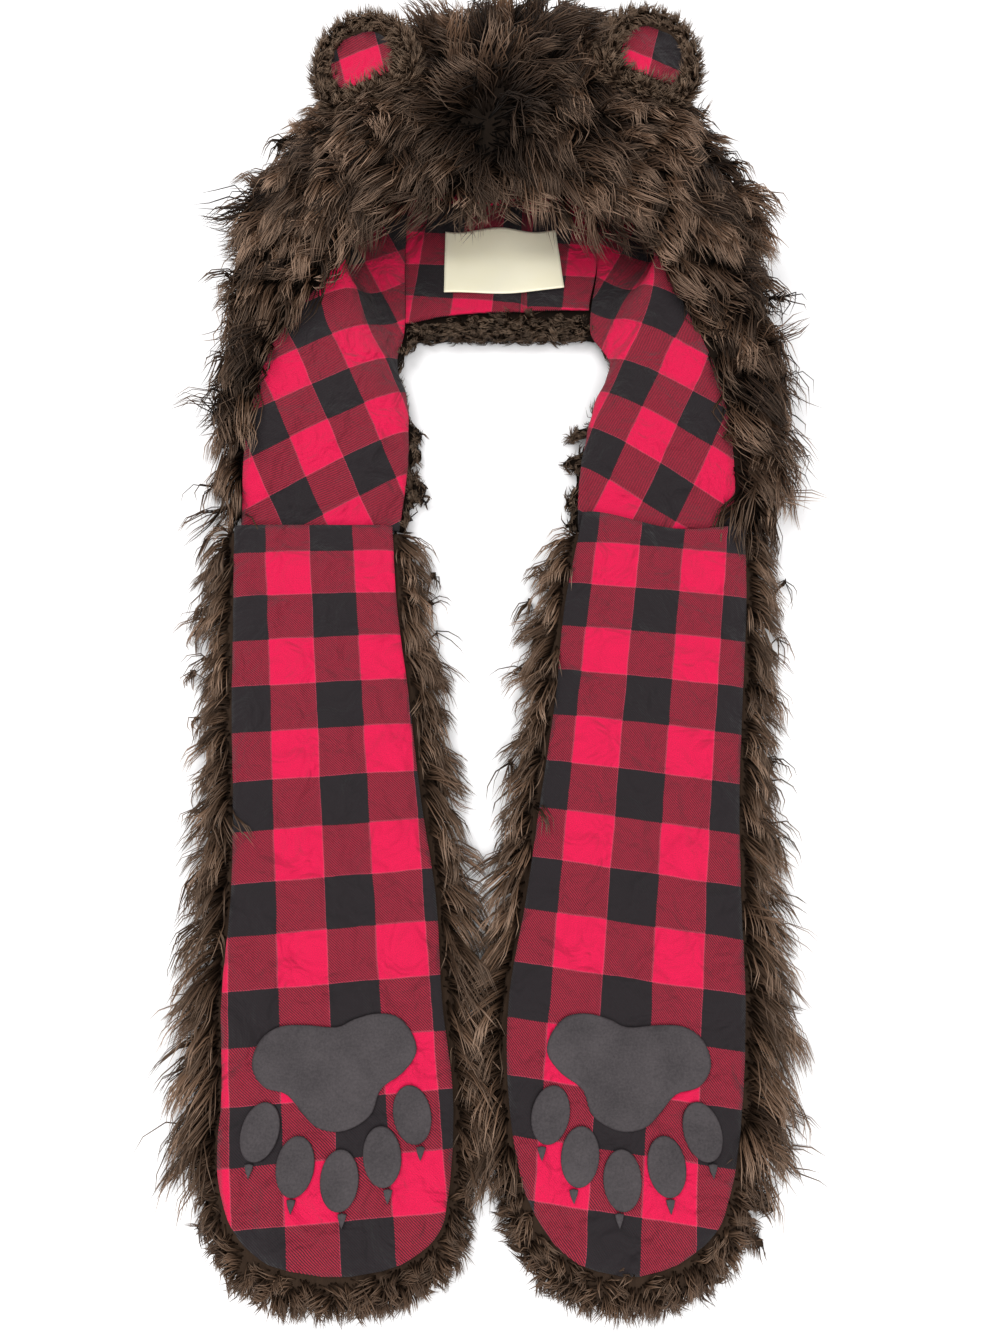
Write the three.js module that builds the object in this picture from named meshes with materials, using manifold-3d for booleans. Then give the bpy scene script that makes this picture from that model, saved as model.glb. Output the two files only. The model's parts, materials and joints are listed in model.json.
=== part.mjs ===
// An animal hood scarf with two round ears and two scarf arms that end in pocketed paws.
// It lies on its back, lining up. Millimetres, +Z up, +Y from the paws towards the crown.
// x = 0 lies halfway between the arms, y = 0 at the middle of the hood's back, z = 0 under its fur.
import * as THREE from "three";
import { mergeVertices } from "three/addons/utils/BufferGeometryUtils.js";
import Module from "manifold-3d";

const wasm = await Module();
wasm.setup();

// Overall sizes
const HALF_WIDTH = 160; // from the middle to the packed fur at the side of the hood
const CROWN_REACH = 102; // from the middle of the back up to the crown's packed fur
const SEAM_REACH = 255; // and down to the seams where the arms begin
const ARM_LENGTH = 381; // from a seam to the end of the paw's lining
const NECK_REACH = 117; // from the middle of the back down to the neck's fur edge

// Thicknesses
const GAP = 0.3; // between pieces that are sewn or laid on each other
const LINING = 1.6; // plaid cotton with its turned edges
const FUR_BED = 12; // pile and backing pressed flat under the hood
const HEAD_ROOM = 44; // between the two sides of the lying hood's lining
const TOP_FUR = 20; // backing and packed pile over the hood
const ARM_BED = 13; // pile and backing pressed flat under an arm
const POCKET_ROOM = 6; // height of a pocket as it lies
const SIDE_FUR = 9; // packed pile beside an arm's lining
const END_FUR = 15; // packed pile past the end of a paw
const POCKET_SEAM = 8; // from the lining's edge to the inside of the pocket
const HEM = 4; // of packed fur that shows past the lining at the neck

// Locks of hair
const LOCK_LENGTH = 27;
const LOCK_WIDTH = 17;
const LOCK_SPACING = 18;

// Label, ears and pads
const LABEL_WIDTH = 77;
const LABEL_HEIGHT = 50;
const LABEL_THICKNESS = 0.9;
const EAR_WIDTH = 64;
const EAR_LENGTH = 62;
const EAR_THICKNESS = 17;
const EAR_PATCH = 0.62; // of the ear's width and length
const PAD_THICKNESS = 1.6;
const PALM_WIDTH = 79;
const PALM_HEIGHT = 53;
const TOE_WIDTH = 18;
const TOE_LENGTH = 26.5;
const CLAW_WIDTH = 4.2;
const CLAW_LENGTH = 6.5;

const LINING_FLOOR = FUR_BED + GAP + LINING / 2; // middle of the lining's cloth on the back
const HOOD_TOP = LINING_FLOOR + HEAD_ROOM + LINING / 2 + GAP + TOP_FUR;
const ARM_FRONT = ARM_BED + POCKET_ROOM; // underside of an arm's lining
const OPEN_SKY = 2 * HOOD_TOP; // above everything, where cuts end
const RING_POINTS = 20;
const PANEL_STEPS = 7;
const STRIP_STEPS = 2;

const table = (names, rows) =>
  rows.map((row) => Object.fromEntries(names.map((name, i) => [name, row[i]])));

// Packed fur of the hood, a row for each cross-section from the crown to the neck. "at" is a
// share of CROWN_REACH above the middle of the back and of SEAM_REACH below it. left and right
// are shares of HALF_WIDTH, top of HOOD_TOP, and lift of FUR_BED.
const HOOD_ROWS = table(
  ["at", "left", "right", "top", "lift"],
  [
    [1.0, -0.07, 0.42, 0.7, 1.0],
    [0.93, -0.27, 0.55, 0.86, 0.35],
    [0.76, -0.47, 0.67, 0.95, 0],
    [0.5, -0.61, 0.75, 0.99, 0],
    [0.22, -0.7, 0.81, 1.0, 0],
    [-0.02, -0.78, 0.88, 1.0, 0],
    [-0.18, -0.88, 0.96, 0.97, 0],
    [-0.35, -0.94, 1.01, 0.84, 0],
    [-0.46, -0.96, 1.02, 0.72, 0],
  ],
);

// Packed fur of the two shoulders, from inside the hood down to the seams.
const SHOULDER_ROWS = table(
  ["at", "leftOut", "leftIn", "rightIn", "rightOut", "inTop", "outTop"],
  [
    [-0.35, -0.93, -0.2, 0.36, 1.0, 0.3, 0.8],
    [-0.46, -0.95, -0.28, 0.43, 1.02, 0.28, 0.71],
    [-0.53, -0.965, -0.34, 0.48, 1.02, 0.31, 0.64],
    [-0.59, -0.97, -0.35, 0.475, 1.03, 0.37, 0.6],
    [-0.67, -0.96, -0.31, 0.41, 1.04, 0.38, 0.56],
    [-0.76, -0.955, -0.29, 0.365, 1.035, 0.35, 0.51],
    [-0.88, -0.94, -0.29, 0.33, 1.02, 0.26, 0.42],
    [-1.0, -0.92, -0.3, 0.3, 0.99, 0.2, 0.36],
  ],
);

// Middle of the lining's cloth on a side of the hood: a curve from its foot, at the centre
// strip's seam or a shoulder's inner side, over two handles to its edge, at the brow or where
// the fur begins. foot, low, high and edge are shares of HALF_WIDTH outwards, their heights
// shares of HEAD_ROOM above the back. lean moves a row to the right, and tuck moves the right
// panel's fold further out.
const SIDE_ROWS = table(
  ["at", "foot", "footZ", "low", "lowZ", "high", "highZ", "edge", "edgeZ", "lean", "tuck"],
  [
    [0.7, 0.27, 0.38, 0.33, 0.38, 0.33, 0.66, 0.27, 0.66, 0.11, 0],
    [0.57, 0.33, 0.1, 0.6, 0.1, 0.6, 0.88, 0.33, 0.88, 0.08, 0],
    [0.3, 0.37, 0, 0.78, 0, 0.78, 0.97, 0.37, 0.97, 0.05, 0],
    [0, 0.39, 0, 0.88, 0, 0.88, 1, 0.39, 1, 0.045, 0],
    [-0.13, 0.39, 0, 0.9, 0, 0.9, 1, 0.39, 1, 0.045, 0],
    [-0.2, 0.39, 0, 0.86, 0, 0.85, 0.97, 0.42, 0.98, 0.045, 0],
    [-0.265, 0.39, 0, 0.76, 0, 0.74, 0.88, 0.5, 0.92, 0.045, 0],
    [-0.33, 0.38, 0, 0.65, 0, 0.6, 0.76, 0.59, 0.82, 0.04, 0],
    [-0.39, 0.37, 0, 0.56, 0, 0.51, 0.66, 0.655, 0.7, 0.034, 0],
    [-0.46, 0.35, 0, 0.47, 0.05, 0.46, 0.54, 0.735, 0.59, 0.012, 0.04],
    [-0.55, 0.36, 0.05, 0.38, 0.27, 0.5, 0.46, 0.81, 0.52, 0, 0.11],
    [-0.65, 0.32, 0.07, 0.34, 0.33, 0.54, 0.4, 0.86, 0.45, 0, 0.1],
    [-0.76, 0.31, 0.06, 0.33, 0.28, 0.56, 0.33, 0.89, 0.37, 0, 0.06],
    [-0.87, 0.31, 0.03, 0.33, 0.14, 0.58, 0.17, 0.905, 0.21, 0, 0.03],
    [-0.95, 0.32, 0.005, 0.35, 0.03, 0.59, 0.04, 0.905, 0.07, 0, 0.01],
    [-1.0, 0.33, 0, 0.36, 0.005, 0.59, 0.01, 0.905, 0.02, 0, 0],
  ],
);
const BROW_ROW = 5; // the last row whose two edges still meet the centre strip
const HEM_ROW = 9; // the row nearest to the neck's edge

// Outline of each arm's lining, a row for each cross-section from the seam to the paw's end:
// "at" is a share of ARM_LENGTH, the four edges are shares of HALF_WIDTH, and top is how high
// the fur beside it stands, as a share of the lining's height.
const ARM_ROWS = table(
  ["at", "leftOut", "leftIn", "rightIn", "rightOut", "top"],
  [
    [0, -0.922, -0.35, 0.344, 0.931, 1.3],
    [0.123, -0.9, -0.325, 0.275, 0.912, 1.3],
    [0.278, -0.875, -0.269, 0.231, 0.869, 1.3],
    [0.425, -0.838, -0.219, 0.175, 0.831, 1.3],
    [0.559, -0.819, -0.163, 0.125, 0.812, 1.28],
    [0.688, -0.819, -0.138, 0.069, 0.8, 1.26],
    [0.806, -0.794, -0.1, 0.069, 0.769, 1.24],
    [0.864, -0.794, -0.1, 0.088, 0.744, 1.22],
    [0.919, -0.769, -0.113, 0.125, 0.706, 1.18],
    [0.95, -0.731, -0.131, 0.169, 0.669, 1.14],
    [0.975, -0.67, -0.19, 0.225, 0.6, 1.1],
    [0.993, -0.57, -0.29, 0.31, 0.51, 1.0],
    [1.0, -0.47, -0.38, 0.39, 0.44, 0.9],
  ],
);

// Palm pad's outline on the left paw, as shares of PALM_WIDTH and PALM_HEIGHT from its middle.
const PALM_POINTS = table(
  ["x", "y"],
  [
    [0, 0.38],
    [0.11, 0.45],
    [0.25, 0.5],
    [0.38, 0.47],
    [0.47, 0.33],
    [0.5, 0.16],
    [0.42, -0.01],
    [0.29, -0.15],
    [0.24, -0.35],
    [0.14, -0.46],
    [0.03, -0.5],
    [-0.09, -0.46],
    [-0.18, -0.34],
    [-0.28, -0.19],
    [-0.42, -0.13],
    [-0.5, 0.04],
    [-0.47, 0.25],
    [-0.36, 0.38],
    [-0.2, 0.4],
  ],
);

// Toe pads and claws of the left paw: shares of PALM_WIDTH and PALM_HEIGHT from the palm's
// middle, the toe's turn in degrees, and the claw's shift from the toe's own middle line.
const TOE_ROWS = table(
  ["x", "y", "turn", "clawX"],
  [
    [-0.424, -0.5, 14, -0.05],
    [-0.2, -0.78, 6, -0.012],
    [0.066, -0.89, 0, 0.025],
    [0.313, -0.7, -8, 0.042],
    [0.485, -0.36, -14, 0.055],
  ],
);
const PALM_AT = 0.772; // of the arm's length, at the palm's middle
const PALM_SHIFT = 0.025; // of PALM_WIDTH, from the arm's middle towards its outer side

const LEFT = -1;
const RIGHT = 1;
const lerp = THREE.MathUtils.lerp;
const v3 = (x, y, z) => new THREE.Vector3(x, y, z);
const hoodY = (at) => at * (at > 0 ? CROWN_REACH : SEAM_REACH);
const armY = (at, length) => -SEAM_REACH - GAP - at * length;

// A geometry from corner points and triangles, turned so that its faces point out.
function closedBody(points, triangles) {
  let volume = 0;
  for (let i = 0; i < triangles.length; i += 3) {
    const [a, b, c] = [0, 1, 2].map((k) => points[triangles[i + k]]);
    volume += a.dot(b.clone().cross(c));
  }
  const index = volume < 0 ? triangles.toReversed() : triangles;
  const geometry = new THREE.BufferGeometry().setFromPoints(points);
  geometry.setIndex(index);
  return geometry;
}

// Triangles of the wall through closed rings with the same number of points.
function ringWall(rings, count) {
  const triangles = [];
  for (let r = 0; r + 1 < rings; r++) {
    for (let i = 0; i < count; i++) {
      const a = r * count + i;
      const b = r * count + ((i + 1) % count);
      triangles.push(a, b, a + count, b, b + count, a + count);
    }
  }
  return triangles;
}

// A body carried through closed rings that lie one after the other along Y, flat at both ends.
function loft(rings) {
  const count = rings[0].length;
  const triangles = ringWall(rings.length, count);
  const points = rings.flat();
  const last = (rings.length - 1) * count;
  for (const [start, turn] of [
    [0, 1],
    [last, -1],
  ]) {
    const ring = points.slice(start, start + count);
    const middle = ring.reduce((sum, p) => sum.add(p), v3(0, 0, 0)).divideScalar(count);
    for (let i = 0; i < count; i++) {
      const [a, b] = [start + i, start + ((i + 1) % count)];
      triangles.push(...(turn > 0 ? [b, a, points.length] : [a, b, points.length]));
    }
    points.push(middle);
  }
  return closedBody(points, triangles);
}

// A body between two surfaces given as grids of points of the same size. On the right side its
// squares are split along the other diagonal, as in a mirror.
function slab(lower, upper, side = LEFT) {
  const rows = lower.length;
  const cols = lower[0].length;
  const size = rows * cols;
  const triangles = [];
  const quad = (a, b, c, d) =>
    triangles.push(...(side === LEFT ? [a, b, c, a, c, d] : [a, b, d, b, c, d]));
  for (let r = 0; r + 1 < rows; r++) {
    for (let c = 0; c + 1 < cols; c++) {
      const a = r * cols + c;
      quad(a, a + 1, a + cols + 1, a + cols);
      quad(size + a, size + a + cols, size + a + cols + 1, size + a + 1);
    }
  }
  for (let c = 0; c + 1 < cols; c++) {
    const end = (rows - 1) * cols + c;
    quad(c + 1, c, size + c, size + c + 1);
    quad(end, end + 1, size + end + 1, size + end);
  }
  for (let r = 0; r + 1 < rows; r++) {
    const a = r * cols;
    const b = a + cols - 1;
    quad(a, a + cols, size + a + cols, size + a);
    quad(b + cols, b, size + b, size + b + cols);
  }
  return closedBody([...lower.flat(), ...upper.flat()], triangles);
}

// The grid moved by a distance along its own normals.
function offsetGrid(grid, distance) {
  const rows = grid.length;
  const cols = grid[0].length;
  return grid.map((row, r) =>
    row.map((p, c) => {
      const down = grid[Math.min(r + 1, rows - 1)][c].clone().sub(grid[Math.max(r - 1, 0)][c]);
      const across = row[Math.min(c + 1, cols - 1)].clone().sub(row[Math.max(c - 1, 0)]);
      return p.clone().addScaledVector(down.cross(across).normalize(), distance);
    }),
  );
}

// The outline moved outwards by a distance, each corner along the middle of its two edges.
function offsetOutline(points, distance) {
  const turn = Math.sign(THREE.ShapeUtils.area(points));
  return points.map((p, i) => {
    const before = points.at(i - 1).clone().sub(p).normalize();
    const after = points[(i + 1) % points.length].clone().sub(p).normalize();
    const along = after.clone().sub(before).normalize();
    const out = new THREE.Vector2(along.y, -along.x).multiplyScalar(turn);
    const square = Math.max(Math.abs(along.dot(after)), 0.4);
    return p.clone().addScaledVector(out, distance / square);
  });
}

function solidOf(geometry) {
  const bare = geometry.clone();
  bare.deleteAttribute("normal");
  bare.deleteAttribute("uv");
  const merged = mergeVertices(bare, 1e-4);
  return new wasm.Manifold(
    new wasm.Mesh({
      numProp: 3,
      vertProperties: merged.attributes.position.array,
      triVerts: new Uint32Array(merged.index.array),
    }),
  );
}

function geometryOf(solid) {
  const mesh = solid.getMesh();
  const geometry = new THREE.BufferGeometry();
  geometry.setAttribute("position", new THREE.BufferAttribute(mesh.vertProperties, 3));
  geometry.setIndex(new THREE.BufferAttribute(mesh.triVerts, 1));
  geometry.computeVertexNormals();
  return geometry;
}

// A flat outline raised to a plate between two heights.
function plate(points, low, high) {
  const raised = new THREE.ExtrudeGeometry(new THREE.Shape(points), {
    depth: high - low,
    bevelEnabled: false,
  });
  return raised.translate(0, 0, low);
}

const hash = (n) => {
  const s = Math.sin(n * 127.1 + 311.7) * 43758.5453;
  return s - Math.floor(s);
};

// A cross-section of packed fur: a rounded bag between two sides, whose top may slope from one
// side to the other, pressed flat where it lies.
function bagPoint(row, angle) {
  const round = (value) => Math.sign(value) * Math.abs(value) ** 0.72;
  const across = (1 + round(Math.cos(angle))) / 2;
  const top = lerp(row.leftTop, row.rightTop, across);
  const sink = FUR_BED / 2;
  const z = -sink + ((top + sink) * (1 + round(Math.sin(angle)))) / 2;
  return v3(lerp(row.left, row.right, across), row.y, Math.max(z, row.lift));
}

function bagRing(row) {
  const step = (2 * Math.PI) / RING_POINTS;
  return Array.from({ length: RING_POINTS }, (_, i) => bagPoint(row, (i + 0.5) * step));
}

// The bag's section between two rows.
function bagBetween(rows, y) {
  let i = 0;
  while (i + 2 < rows.length && rows[i + 1].y > y) i++;
  const share = (y - rows[i].y) / (rows[i + 1].y - rows[i].y);
  const names = ["left", "right", "leftTop", "rightTop", "lift"];
  const between = names.map((name) => [name, lerp(rows[i][name], rows[i + 1][name], share)]);
  return { y, ...Object.fromEntries(between) };
}

const hoodBags = HOOD_ROWS.map((row) => ({
  y: row.at === HOOD_ROWS.at(-1).at ? -NECK_REACH : hoodY(row.at),
  left: row.left * HALF_WIDTH,
  right: row.right * HALF_WIDTH,
  leftTop: row.top * HOOD_TOP,
  rightTop: row.top * HOOD_TOP,
  lift: row.lift * FUR_BED,
}));

const shoulderBags = (side) =>
  SHOULDER_ROWS.map((row) => ({
    y: hoodY(row.at),
    left: HALF_WIDTH * (side === LEFT ? row.leftOut : row.rightIn),
    right: HALF_WIDTH * (side === LEFT ? row.leftIn : row.rightOut),
    leftTop: HOOD_TOP * (side === LEFT ? row.outTop : row.inTop),
    rightTop: HOOD_TOP * (side === LEFT ? row.inTop : row.outTop),
    lift: 0,
  }));

const armBags = (side) =>
  ARM_ROWS.map((row) => ({
    y: armY(row.at, ARM_LENGTH + END_FUR),
    left: HALF_WIDTH * (side === LEFT ? row.leftOut : row.rightIn) - SIDE_FUR,
    right: HALF_WIDTH * (side === LEFT ? row.leftIn : row.rightOut) + SIDE_FUR,
    leftTop: row.top * ARM_FRONT,
    rightTop: row.top * ARM_FRONT,
    lift: 0,
  }));

// A lock of hair: a flattened spike with four sides, bent once, whose root is sunk in the fur.
function lock(root, flow, length, width) {
  const side = v3(0, 0, 1).cross(flow).normalize();
  const up = flow.clone().cross(side).normalize();
  const thick = width * 0.38;
  const droop = v3(0, 0, -0.22 * length);
  const stations = [
    { share: -0.3, wide: 1, fall: 0 },
    { share: 0.45, wide: 0.62, fall: 0.25 },
  ];
  const points = stations.flatMap(({ share, wide, fall }) => {
    const middle = root.clone().addScaledVector(flow, share * length);
    middle.addScaledVector(droop, fall);
    middle.z = Math.max(middle.z, (wide * thick) / 2 + GAP);
    return [
      middle.clone().addScaledVector(side, (wide * width) / 2),
      middle.clone().addScaledVector(up, (wide * thick) / 2),
      middle.clone().addScaledVector(side, (-wide * width) / 2),
      middle.clone().addScaledVector(up, (-wide * thick) / 2),
    ];
  });
  const tip = root.clone().addScaledVector(flow, length).add(droop);
  points.push(tip.setZ(Math.max(tip.z, GAP)));
  const triangles = [0, 2, 1, 0, 3, 2];
  for (let i = 0; i < 4; i++) {
    const j = (i + 1) % 4;
    triangles.push(i, j, 4 + i, j, 4 + j, 4 + i, 4 + i, 4 + j, 8);
  }
  return closedBody(points, triangles);
}

// Each lock of the list at its full length, or shorter where something else is in its way.
function growLocks(locks, keepOut) {
  const grown = [];
  for (const { root, flow, length, width } of locks) {
    const lengths = [1, 0.7, 0.45].map((share) => share * length);
    const solids = lengths.map((reach) => solidOf(lock(root, flow, reach, width)));
    const fits = solids.find((solid) => keepOut.intersect(solid).isEmpty());
    if (fits) grown.push(fits);
  }
  return grown.reduce((sum, solid) => sum.add(solid));
}

// Locks along a run of bags: one at each angle of the list at every spacing, pointing away from
// the fur and along the pile, which lies towards the paws.
function locksAlong(rows, from, to, angles, seed) {
  const count = Math.max(1, Math.round(Math.abs(to - from) / LOCK_SPACING));
  const locks = [];
  for (let i = 0; i < count; i++) {
    angles.forEach((degrees, k) => {
      const n = seed + i * 7.3 + k * 31.7;
      const y = lerp(from, to, (i + 0.25 + 0.5 * hash(n)) / count);
      const angle = THREE.MathUtils.degToRad(degrees + 10 * (hash(n + 1) - 0.5));
      const row = bagBetween(rows, y);
      const root = bagPoint(row, angle);
      const out = v3(Math.cos(angle), 0, Math.sin(angle));
      const flow = v3(out.x, -0.6 + 0.5 * (hash(n + 2) - 0.5), Math.max(0.8 * out.z, -0.1));
      const length = LOCK_LENGTH * (0.75 + 0.5 * hash(n + 3));
      const width = LOCK_WIDTH * (0.8 + 0.4 * hash(n + 4));
      locks.push({ root, flow: flow.normalize(), length, width });
    });
  }
  return locks;
}

// Locks round the crown's edge, standing away from the middle of the back.
function crownLocks() {
  const row = bagBetween(hoodBags, hoodY(0.8));
  const middle = (row.left + row.right) / 2;
  const half = (row.right - row.left) / 2;
  const locks = [];
  for (let degrees = 35; degrees <= 145; degrees += 11) {
    const angle = THREE.MathUtils.degToRad(degrees + 5 * (hash(degrees) - 0.5));
    const out = v3(Math.cos(angle), Math.sin(angle), 0);
    const root = v3(middle + out.x * half, hoodY(0.62 + 0.34 * out.y), HOOD_TOP * 0.5);
    const flow = v3(out.x * 0.7, out.y, 0.35 * (hash(degrees + 1) - 0.3)).normalize();
    const length = LOCK_LENGTH * (0.8 + 0.5 * hash(degrees + 2));
    locks.push({ root, flow, length, width: LOCK_WIDTH });
  }
  return locks;
}

// The brow's locks, which hang over the edge of the face opening.
function browLocks() {
  const row = bagBetween(hoodBags, hoodY(SIDE_ROWS[BROW_ROW].at));
  const locks = [];
  for (let degrees = 38; degrees <= 142; degrees += 9) {
    const angle = THREE.MathUtils.degToRad(degrees);
    const root = bagPoint(row, angle);
    root.y += LOCK_WIDTH * hash(degrees + 5);
    root.z -= LOCK_WIDTH * 0.3;
    const flow = v3(Math.cos(angle) * 0.5, -1, 0.25).normalize();
    const length = LOCK_LENGTH * (0.7 + 0.4 * hash(degrees + 6));
    locks.push({ root, flow, length, width: LOCK_WIDTH });
  }
  return locks;
}

// One point of a side panel's cloth: share 0 at its foot, 1 at its edge.
function sidePoint(row, side, share) {
  const tuck = side === RIGHT ? row.tuck : 0;
  const x = (value, moved) => HALF_WIDTH * (side * (value + moved) + row.lean);
  const z = (value) => LINING_FLOOR + value * HEAD_ROOM;
  const curve = new THREE.CubicBezierCurve3(
    v3(x(row.foot, tuck), 0, z(row.footZ)),
    v3(x(row.low, tuck), 0, z(row.lowZ)),
    v3(x(row.high, tuck / 2), 0, z(row.highZ)),
    v3(x(row.edge, 0), 0, z(row.edgeZ)),
  );
  return curve.getPoint(share).setY(hoodY(row.at));
}

const sideGrid = (side) =>
  SIDE_ROWS.map((row) =>
    Array.from({ length: PANEL_STEPS + 1 }, (_, i) => sidePoint(row, side, i / PANEL_STEPS)),
  );

// A row of the centre strip's cloth between the two side panels' feet or edges.
function stripRow(row, share, seam) {
  const left = sidePoint(row, LEFT, share);
  const right = sidePoint(row, RIGHT, share);
  left.x += seam;
  right.x -= seam;
  const steps = Array.from({ length: STRIP_STEPS + 1 }, (_, i) => i / STRIP_STEPS);
  return steps.map((step) => left.clone().lerp(right, step));
}

// The centre strip runs up the back, round the crown and down to the brow.
function stripGrid() {
  const floor = SIDE_ROWS.slice(0, HEM_ROW + 1).reverse();
  const roof = SIDE_ROWS.slice(0, BROW_ROW + 1);
  const up = floor.map((row) => stripRow(row, 0, GAP));
  up[0].forEach((p) => (p.y = HEM - NECK_REACH));
  const down = roof.map((row) => stripRow(row, 1, GAP));
  const bend = up.at(-1).map((p, i) => p.clone().lerp(down[0][i], 0.5));
  bend.forEach((p) => (p.y += LINING * 2));
  return [...up, bend, ...down];
}

const sheet = (grid, side) =>
  slab(offsetGrid(grid, -LINING / 2), offsetGrid(grid, LINING / 2), side);

// A side panel's grid moved outwards, away from the head, to where the fur's backing begins.
const backingGrid = (side) => offsetGrid(sideGrid(side), -side * (LINING / 2 + GAP));

// The hood's hollow: rings of the backing's inner face, closed over the head and open to the
// sky from the brow to the neck.
function hollow() {
  const [left, right] = [LEFT, RIGHT].map(backingGrid);
  const rings = left.slice(0, HEM_ROW + 2).map((row, r) => {
    const [from, to] = [right[r].at(-1), row.at(-1)];
    const roof = [from.clone().lerp(to, 1 / 3), from.clone().lerp(to, 2 / 3)];
    const sky = [from, to].map((p) => p.clone().setZ(OPEN_SKY));
    return [...row.toReversed(), ...right[r], ...(r > BROW_ROW ? sky : roof)];
  });
  const crown = rings[0].map((p) => p.clone().setY(p.y + 4 * LINING));
  return loft([crown, ...rings]);
}

// What lies above a shoulder's flap of lining, down to its underside.
function aboveFlap(side) {
  const lower = backingGrid(side).slice(HEM_ROW - 1);
  lower.push(lower.at(-1).map((p) => p.clone().setY(p.y - SIDE_FUR)));
  lower.forEach((row) => row.unshift(row[0].clone().setX(row[0].x - side * 3 * LINING)));
  const sky = lower.map((row) => row.map((p) => p.clone().setZ(OPEN_SKY)));
  return slab(lower, sky, side);
}

const union = (geometries) => geometries.map(solidOf).reduce((sum, solid) => sum.add(solid));

// Everything on one side of a line across the part, as a box.
function beyond(axis, from, to) {
  const size = 2 * (SEAM_REACH + ARM_LENGTH);
  const box = new THREE.BoxGeometry(size, size, size);
  const centre = from + (Math.sign(to) * size) / 2;
  return solidOf(axis === "x" ? box.translate(centre, 0, 0) : box.translate(0, centre, 0));
}

function hoodFur(ears) {
  const [left, right] = [shoulderBags(LEFT), shoulderBags(RIGHT)];
  const inside = union([hollow(), aboveFlap(LEFT), aboveFlap(RIGHT)]);
  const bags = [hoodBags, left, right].map((rows) => loft(rows.map(bagRing)));
  const body = union(bags).subtract(inside);
  const neck = LOCK_SPACING - NECK_REACH;
  const locks = [
    ...locksAlong(hoodBags, hoodY(0.85), neck, [190, 165, -10, 15], 1),
    ...locksAlong(hoodBags, hoodY(0.7), hoodY(-0.12), [48, 70, 92, 114, 136], 90),
    ...locksAlong(left, neck, -SEAM_REACH, [190, 160], 120),
    ...locksAlong(right, neck, -SEAM_REACH, [-10, 20], 150),
    ...locksAlong(left, -NECK_REACH - 3 * LOCK_SPACING, -SEAM_REACH, [-8], 180),
    ...locksAlong(right, -NECK_REACH - 3 * LOCK_SPACING, -SEAM_REACH, [188], 190),
    ...crownLocks(),
    ...browLocks(),
  ];
  const keepOut = ears.reduce((sum, ear) => sum.add(ear), inside.add(beyond("y", -SEAM_REACH, -1)));
  const fur = body.add(growLocks(locks, keepOut));
  return geometryOf(ears.reduce((sum, ear) => sum.subtract(ear), fur));
}

// Outline of an arm's lining moved outwards, its open end run on past the seam.
function armOutline(side, distance, past) {
  const [one, other] = side === LEFT ? ["leftOut", "leftIn"] : ["rightOut", "rightIn"];
  const edge = (name) =>
    ARM_ROWS.map((row) => new THREE.Vector2(row[name] * HALF_WIDTH, armY(row.at, ARM_LENGTH)));
  const points = offsetOutline([...edge(one), ...edge(other).reverse()], distance);
  const mouth = [points[0], points.at(-1)].map((p) => p.clone().setY(p.y + past));
  return past > 0 ? [mouth[0], ...points, mouth[1]] : points;
}

function armFur(side) {
  const rows = armBags(side);
  const seam = armY(0, ARM_LENGTH);
  const bed = plate(armOutline(side, GAP, SIDE_FUR), ARM_FRONT - GAP, OPEN_SKY);
  const pocket = plate(armOutline(side, -POCKET_SEAM, 3 * SIDE_FUR), ARM_BED, OPEN_SKY);
  const inside = union([bed, pocket]);
  const body = solidOf(loft(rows.map(bagRing))).subtract(inside);
  const end = armY(0.95, ARM_LENGTH + END_FUR);
  const keepOut = inside.add(beyond("x", side * GAP, -side)).add(beyond("y", seam, 1));
  const locks = locksAlong(rows, seam - SIDE_FUR, end, [186, -6], 200 + 70 * side);
  return geometryOf(body.add(growLocks(locks, keepOut)));
}

const material = (color, roughness) =>
  new THREE.MeshStandardMaterial({ color, roughness, metalness: 0 });

const root = new THREE.Group();
function addPiece(name, geometry, finish, parent = root) {
  const mesh = new THREE.Mesh(geometry, finish);
  mesh.name = name;
  parent.add(mesh);
  return mesh;
}

// The label lies on the centre strip, just under the brow.
function labelGeometry() {
  const shape = new THREE.Shape();
  const [w, h] = [LABEL_WIDTH / 2, LABEL_HEIGHT / 2];
  shape.moveTo(-w, -h);
  shape.lineTo(w, -h);
  shape.lineTo(w, h);
  shape.bezierCurveTo(w / 3, h * 1.06, -w / 3, h * 0.9, -w, h);
  const raised = new THREE.ExtrudeGeometry(shape, {
    depth: LABEL_THICKNESS,
    bevelEnabled: false,
    curveSegments: 6,
  });
  const z = LINING_FLOOR + LINING / 2 + GAP;
  return raised.translate(HALF_WIDTH * 0.058, hoodY(-0.243), z);
}

// An ear lies with its face up: a rounded bag of short fur, thick at its rim, with the plaid
// patch let into its face. y runs from its root to its rim.
function earOutline(width, length, segments) {
  const shape = [];
  for (let i = 0; i <= segments; i++) {
    const angle = lerp(-0.22, 1.22, i / segments) * Math.PI;
    shape.push(new THREE.Vector2((width / 2) * Math.cos(angle), (length / 2) * Math.sin(angle)));
  }
  return shape;
}

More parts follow.
